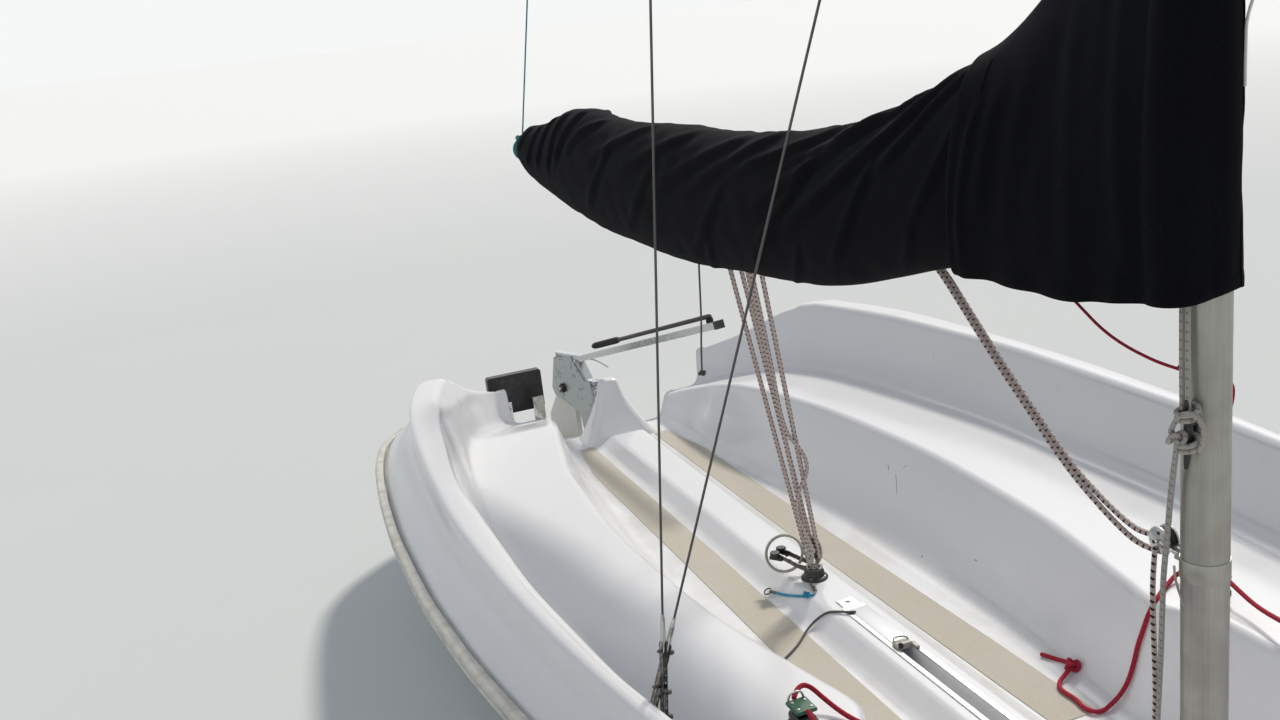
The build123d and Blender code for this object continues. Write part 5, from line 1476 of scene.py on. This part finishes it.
def slot_cap():
    """The cap over the aft end of the board slot, flush with its trim, and at its edge the lifting block with
    a bent wire bail, a dark stopper and a short tongue on the port side."""
    end, edge, top = -0.322, -0.112, 0.2036
    cap = block_shape((edge - end, 0.0505, 0.008), edge=0.0012)
    make_piece("slot_cap", *moved(cap, ((end + edge) / 2, 0.00725, top - 0.004)), GELCOAT, "hull", sharp=50)
    make_piece("lifting_block", *joined([
        moved(block_shape((0.026, 0.042, 0.016), edge=0.003), (edge + 0.010, -0.001, 0.2045)),
        moved(block_shape((0.030, 0.011, 0.006), edge=0.002), (edge + 0.028, 0.0215, 0.2060)),
    ]), GREY_NYLON, "hull", sharp=50)
    bail = [(-0.112, -0.017, 0.206), (-0.116, -0.018, 0.2145), (-0.114, -0.013, 0.2200),
        (-0.110, -0.002, 0.2215), (-0.106, 0.010, 0.2205), (-0.103, 0.016, 0.2150), (-0.103, 0.016, 0.206)]
    tube_piece("lifting_bail", spline_points(bail), 0.0030, ACETAL, "hull")
    stopper = placed(disc(0.0072, 0, 0.005, 0.002, 20), (-0.0915, -0.012, 0.2085), (0, 0.6, 0.8),
        (0.75, -0.45, 0.49))
    make_piece("lifting_stopper", *stopper, RUBBER, "hull", sharp=50)


def toothed_cam(radius, swell, lean, tooth, draw, half, edge):
    """A twelve-toothed cam about z, which swells by up to that much towards its lean, its rims drawn in."""
    a = np.linspace(0, 2 * np.pi, 48, endpoint=False)
    radius = radius + swell * np.cos(a - lean) + tooth * np.sign(np.sin(12 * a))
    outline = np.stack([radius * np.cos(a), radius * np.sin(a)], -1)
    return stacked(outline, ((draw, -half), (1.0, edge - half), (1.0, half - edge), (draw, half)))


def cam_arm(foot):
    """The mainsheet's arm: two steel straps on a collar, and between them the cam's jaws and its ring."""
    bearing = math.radians(215)
    way = np.array((math.cos(bearing), math.sin(bearing), 0))
    side = np.array((-way[1], way[0], 0))
    run = np.linspace(0, 1, 14)
    section = np.array([(-0.0015, -0.007), (0.0015, -0.007), (0.0015, 0.007), (-0.0015, 0.007)])
    parts, cams = [], []
    for hand in (-1, 1):
        path = foot + way * (0.012 + 0.098 * run)[:, None] + side * (hand * (0.020 - 0.006 * run))[:, None]
        path = path + UP * (0.032 + 0.022 * ease(run))[:, None]
        points = path[:, None] + section[None, :, :1] * side + section[None, :, 1:] * UP
        parts.append((points, skin_faces(*points.shape[:2])))
        jaw = toothed_cam(0.0125, 0.0035, hand * 0.9, 0.0007, 0.97, 0.0075, 0.0015)
        cams.append(placed(jaw, foot + way * 0.103 + side * hand * 0.0145 + (0, 0, 0.0555), way, UP))
    collar = turned([(0.0165, 0.026), (0.024, 0.026), (0.024, 0.031), (0.0165, 0.031), (0.0165, 0.026)], 32)
    parts.append(moved(collar, foot))
    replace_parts(make_piece("cam_arm", *joined(parts), STEEL_IN_SHADE, "hull", sharp=40, merge=1e-6),
        "mainsheet_arm")
    plate = block_shape((0.040, 0.046, 0.010), 0.003)
    cams.append(placed(plate, foot + way * 0.102 + (0, 0, 0.0455), way, UP))
    make_piece("cam_jaws", *joined(cams), ACETAL, "hull", sharp=35)
    hoop = coil_round(foot + way * 0.104 + (0.006, 0.014, 0.051), (0.62, -0.50, 0.62), 0.0500, 1.0)
    make_piece("cam_ring", *tube_shape(hoop, 0.0040, 14, domed=False), GREY_NYLON, "hull", merge=1e-5)


def ratchet_block(foot):
    """The block that the mainsheet's falls end in: two cheeks whose holes are dark discs of painted shade, a
    sheave, strap and spring.
    """
    centre = foot + (0, 0, 0.081)
    a = np.linspace(0, 2 * np.pi, 56, endpoint=False)
    low = np.clip(-np.sin(a), 0, 1)
    outline = np.stack([0.0315 * np.cos(a) * (1 - 0.34 * low**2), 0.034 * np.sin(a) * (1 + 0.30 * low)], -1)
    levels = ((0.94, -0.0022), (0.985, -0.0016), (1.0, 0), (0.97, 0.0018), (0.90, 0.0030), (0.70, 0.0042))
    holes = np.arange(9) * 2 * np.pi / 9 + 0.35
    straps = []
    for hand, name in reversed(SIDES):
        points, faces = stacked(outline, levels)
        # the outline stands upright on both cheeks, and the levels go outwards
        points = centre + points[:, (0, 2, 1)] * (hand, hand, 1) + (0, hand * 0.0120, 0)
        cheek = make_piece(f"ratchet_cheek_{name}", points, faces, GREY_NYLON, "hull", sharp=50)
        # dark discs on the cheeks stand for the shade inside their holes: painted shade
        recess_shade_discs = [placed(disc(0.0036, -0.0006, 0.0006, 0.0004),
            centre + (0.0205 * x, hand * 0.0158, 0.0215 * z), (1, 0, 0), (0, hand, 0))
            for x, z in zip(np.cos(holes), np.sin(holes))]
        make_piece(f"ratchet_recesses_{name}", *joined(recess_shade_discs), RUBBER, "hull")
        path = [foot + (0, hand * y, z)
                for y, z in ((0.0040, 0.027), (0.0110, 0.042), (0.0150, 0.060), (0.0150, 0.083))]
        straps.append(tube_shape(spline_points(path), 0.0028, 10))
    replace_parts(cheek, "ratchet_block")
    wheel = turned([(0, -0.007), (0.026, -0.007), (0.0245, -0.004), (0.0215, 0), (0.0245, 0.004),
        (0.026, 0.007), (0, 0.007)], 36)
    make_piece("ratchet_sheave", *placed(wheel, centre, (1, 0, 0), (0, 1, 0)), ACETAL, "hull", sharp=40)
    straps.append(tube_shape([centre - (0, 0.0165, 0), centre + (0, 0.0165, 0)], 0.0042, 12))
    make_piece("ratchet_strap", *joined(straps), STEEL, "hull", sharp=40)
    spring = coil_round(foot + (0, 0, 0.0275), UP, 0.0105, 4.0, 0.0042)
    make_piece("ratchet_spring", *tube_shape(spring, 0.0011, 8), STEEL, "hull")


def mainsheet_fittings():
    """On the console: the swivel base with its screws, the arm with its cam, and the ratchet block."""
    foot = at(1.662, 0, CONSOLE_Z)
    base = turned([(0, 0), (0.036, 0), (0.036, 0.003), (0.033, 0.0065), (0.029, 0.008), (0.0275, 0.012),
                   (0.0265, 0.020), (0.0225, 0.0255), (0.019, 0.026), (0, 0.026)], 40)
    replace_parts(make_piece("sheet_swivel", *moved(base, foot), ACETAL, "hull", sharp=40), "mainsheet_base")
    heads = [moved(disc(0.0042, 0.0060, 0.0088, 0.001), foot, (0.027 * math.cos(a), 0.027 * math.sin(a), 0))
             for a in np.radians((45, 135, 225, 315))]
    make_piece("sheet_swivel_screws", *joined(heads), STEEL, "hull", sharp=40)
    cam_arm(foot)
    ratchet_block(foot)


def jib_cleats():
    """On each seat: a swivelling cam cleat with toothed jaws under a green top with its fairlead."""
    bases, tops, jaws, steel = [], [], [], []
    for hand, _ in SIDES:
        foot = at(2.555, hand * 0.487, 0.393)
        base = turned([(0, 0.0002), (0.031, 0.0002), (0.031, 0.005), (0.028, 0.010), (0.0245, 0.012),
            (0, 0.012)], 40)
        bases += [moved(base, foot),
                  moved(block_shape((0.046, 0.040, 0.019), 0.007, 5), foot, (0, 0, 0.0190))]
        for side in (-1, 1):
            jaw = toothed_cam(0.0085, 0.0022, -side * 1.2, 0.0006, 0.96, 0.004, 0.001)
            jaws.append(moved(jaw, foot, (-0.004, side * 0.0105, 0.0320)))
        tops.append(moved(block_shape((0.050, 0.044, 0.0085), 0.0040, 5), foot, (0, 0, 0.0405)))
        arch = [foot + (-0.022, y, z)
                for y, z in ((-0.016, 0.043), (-0.015, 0.056), (0, 0.061), (0.015, 0.056), (0.016, 0.043))]
        steel.append(tube_shape(spline_points(arch), 0.0022, 10))
        steel += [moved(disc(0.0034, 0.0446, 0.0462, 0.0006), foot, (x, y, 0))
                  for x in (0.014, -0.012) for y in (0.013, -0.013)]
    base = make_piece("jib_cleat_bodies", *joined(bases), ACETAL, "hull", sharp=40)
    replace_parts(base, "jib_cleat_bases")
    cap = make_piece("jib_cleat_caps", *joined(tops), GREEN, "hull", sharp=40)
    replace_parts(cap, "jib_cleat_tops")
    make_piece("jib_cleat_jaws", *joined(jaws), RUBBER, "hull", sharp=35)
    make_piece("jib_cleat_steel", *joined(steel), STEEL, "hull", sharp=40)


def horn_cleats():
    """Horn cleats on both sides of the mast: a waisted bar with upturned horns on two feet."""
    parts = []
    run = np.linspace(-1, 1, 33)
    radius = 0.0030 + 0.0030 * np.sqrt(np.clip(1 - run**2, 0, 1)) + 0.0012 * np.exp(-((run / 0.3) ** 2))
    for hand, _ in SIDES:
        bar = np.column_stack([0 * run, hand * (MAST_RADIUS + 0.0185 + 0.0065 * run**2), 0.052 * run])
        parts.append(tube_shape(round_mast(bar), radius, 16))
        for lift in (-0.014, 0.014):
            foot = [(0, hand * (MAST_RADIUS - 0.002), lift * 1.15), (0, hand * (MAST_RADIUS + 0.019), lift)]
            parts.append(tube_shape(round_mast(foot), (0.0072, 0.0052), 14))
        plate, faces = moved(block_shape((0.013, 0.004, 0.046), 0.0015),
            (0, hand * (MAST_RADIUS + 0.0012), 0))
        parts.append((round_mast(plate), faces))
    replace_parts(make_piece("horn_cleats", *joined(parts), ACETAL, "hull", sharp=50), "mast_cleats")


def vang_band():
    """The band round the mast that the vang hangs on: thin sheet metal with an eye plate aft."""
    band = turned([(0.0361, -0.017), (0.0374, -0.017), (0.0377, -0.0164), (0.0377, 0.0164), (0.0374, 0.017),
                   (0.0361, 0.017)], 72)
    eye = block_shape((0.028, 0.005, 0.022), 0.0018)
    middle = np.array((MAST_X, 0, 0.775))
    parts = [moved(band, middle), moved(eye, middle, (-0.050, 0, 0))]
    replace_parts(make_piece("vang_band", *joined(parts), SPAR, "hull", sharp=50), "vang_tang")


def vang_block():
    """The vang's block: two cheeks with three dark discs of painted shade a face where their holes are, a
    sheave and the bow shackle it hangs by.
    """
    centre = at(2.945, 0, 0.789)
    radius, thickness = 0.0235, 0.0036
    holes = np.arange(3) * 2 * np.pi / 3
    for hand, name in reversed(SIDES):
        place = centre + (0, hand * 0.0095, 0), UP, (0, hand, 0)
        face = disc(radius, -thickness / 2, thickness / 2, thickness * 0.4, 36)
        cheek = make_piece(f"vang_cheek_{name}", *placed(face, *place), STEEL, "hull", sharp=50)
        # dark discs on both faces of each cheek stand for the shade inside its holes: painted shade
        recess_shade_discs = [placed(moved(disc(radius * 0.14, -0.0006, 0.0006, 0.0004), (x, y, z)), *place)
                 for z in (thickness / 2, -thickness / 2)
                 for x, y in zip(radius * 0.55 * np.cos(holes), radius * 0.55 * np.sin(holes))]
        make_piece(f"vang_cheek_{name}_recess_shade", *joined(recess_shade_discs), RUBBER, "hull")
    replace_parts(cheek, "vang_block")
    wheel = turned([(0, -0.0065), (0.0195, -0.0065), (0.0165, 0), (0.0195, 0.0065), (0, 0.0065)], 32)
    make_piece("vang_sheave", *placed(wheel, centre, (1, 0, 0), (0, 1, 0)), ACETAL, "hull", sharp=40)
    half = np.array(((0.006, 0.0125, 0), (0.024, 0.0125, -0.006), (0.036, 0.006, -0.0120)))
    bow = centre + np.concatenate([half, half[::-1] * (1, -1, 1)])
    make_piece("vang_shackle", *joined([
        tube_shape(spline_points(bow), 0.0026, 10),
        tube_shape([centre - (0, 0.0150, 0), centre + (0, 0.0150, 0)], 0.0036, 12),
    ]), STEEL, "hull", sharp=40)


PINTLE = np.array((-2.320, 0.0, 0.0))
HELM = math.radians(14.0)
AHEAD = np.array((math.cos(HELM), math.sin(HELM), 0.0))
ABEAM = np.array((-math.sin(HELM), math.cos(HELM), 0.0))
TILLER_END = PINTLE + AHEAD * 0.850 + (0, 0, 0.672)
TILLER_WAY = (AHEAD * 0.930 + (0, 0, 0.272)) / math.hypot(0.930, 0.272)
TILLER_UP = np.cross(TILLER_WAY, ABEAM)


def kick_knob():
    """The five-lobed star knobs of the bolt that clamps the blade, and the bolt through the cheeks."""
    centre = np.mean(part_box("kick_bolt"), axis=0)
    a = np.linspace(0, 2 * np.pi, 60, endpoint=False)
    lobes = 0.0188 * (1 + 0.115 * np.cos(5 * a))
    outline = np.stack([lobes * np.cos(a), lobes * np.sin(a)], -1)
    levels = ((0.0, 0.0005), (0.75, 0.0005), (0.94, 0.0025), (1.0, 0.006), (0.98, 0.0095), (0.88, 0.0125),
              (0.55, 0.0138), (0.0, 0.014))
    star = stacked(outline, levels)[0], grid_faces(len(levels), len(a), closed=True)
    stars = [placed(star, centre + ABEAM * sign * 0.019, UP, ABEAM * sign) for sign in (1, -1)]
    knobs = make_piece("kick_knobs", *joined(stars), ACETAL, "rudder", merge=1e-5, sharp=60)
    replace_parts(knobs, "kick_bolt")
    shank = tube_shape([centre - ABEAM * 0.033, centre + ABEAM * 0.033], 0.0058, 14)
    make_piece("kick_bolt_shank", *shank, STEEL, "rudder", sharp=40)


def tiller_stick():
    """The tiller extension folded back on the tiller: a black tube, a ribbed rubber grip on its free end, and
    a hooked swivel at the other."""
    fore = TILLER_END - TILLER_WAY * 0.060 + TILLER_UP * 0.0345
    aft = fore - TILLER_WAY * 0.790
    tube = tube_shape([fore + TILLER_WAY * 0.008, aft], 0.008, 20)
    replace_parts(make_piece("extension_tube", *tube, ACETAL, "rudder"), "tiller_extension")
    run = np.linspace(0, 1, 150)
    ribs = np.clip(np.sin(run * 2 * np.pi * 22) * 3, -1, 1) * ((run > 0.08) & (run < 0.9))
    radius = np.minimum(0.0118 + 0.0010 * ribs, 0.0090 + 0.06 * np.minimum(run, 1 - run))
    grip = aft + TILLER_WAY * (0.190 - 0.195 * run)[:, None]
    make_piece("extension_grip", *tube_shape(grip, radius, 24), RUBBER, "rudder", sharp=60)
    hook = [fore + TILLER_WAY * along - TILLER_UP * down
            for along, down in ((0.006, 0), (0.014, 0.004), (0.018, 0.014), (0.012, 0.0205))]
    make_piece("extension_swivel", *tube_shape(spline_points(hook), 0.0052, 12), RUBBER, "rudder")


def rudder_details():
    """The bolts that hold tiller and stock between the cheeks, in the cheek's two holes and at its back."""
    places = ((-0.1530, 0.3695), (-0.1545, 0.3510), (-0.110, 0.385), (-0.240, 0.372), (-0.075, 0.100),
        (-0.075, 0.285))
    heads = [placed(disc(0.0052, 0, 0.0028, 0.0012, 16),
                    PINTLE + AHEAD * along + (0, 0, z) + ABEAM * sign * 0.0188, UP, ABEAM * sign)
             for along, z in places for sign in (1, -1)]
    make_piece("cheek_rivets", *joined(heads), STEEL, "rudder", sharp=40)


def motor_pad_details():
    """The four bolts through the outboard pad."""
    head = turned([(0, 0), (0.0085, 0), (0.0085, 0.001), (0.0072, 0.003), (0.004, 0.0042), (0, 0.0045)], 20)
    bolts = [placed(head, (-2.3105, y - 0.330, z + 0.352), UP, (-1, 0, 0))
             for z in (-0.055, 0.055) for y in (-0.085, 0.085)]
    make_piece("pad_bolts", *joined(bolts), STEEL, "hull", sharp=40)


def boot_fastenings():
    """The white lacing that zigzags down the boot's seam and hangs on from it, and one loop at the hem."""
    seam = [(math.degrees(SEAM) + (5.5 if i % 2 else -5.5), 0.0475, 2.030 - 0.046 * i) for i in range(6)]
    seam += [(33, 0.0600, 1.765), (34, 0.0715, 1.720), (35, 0.0700, 1.680), (34, 0.0580, 1.635),
        (33, 0.0480, 1.600), (35, 0.0475, 1.570), (32, 0.0475, 1.540), (33, 0.0475, 1.512)]
    tube_piece("boot_lacing", spline_points(beside_mast(seam)), 0.0045, WHITE_ROPE, "hull")
    loop = coil_round((0.3655, -0.1215, 1.247), (1, 0.2, 0), 0.0065, 1.0)
    tube_piece("boot_toggle_loop", loop, 0.0028, WHITE_ROPE, "boom")


add_stays()
furled_jib()
mainsheet()
vang()
topping_lift()
halyards()
jib_sheets()
small_lines()
slot_cap()
mainsheet_fittings()
jib_cleats()
horn_cleats()
vang_band()
vang_block()
kick_knob()
tiller_stick()
rudder_details()
motor_pad_details()
boot_fastenings()
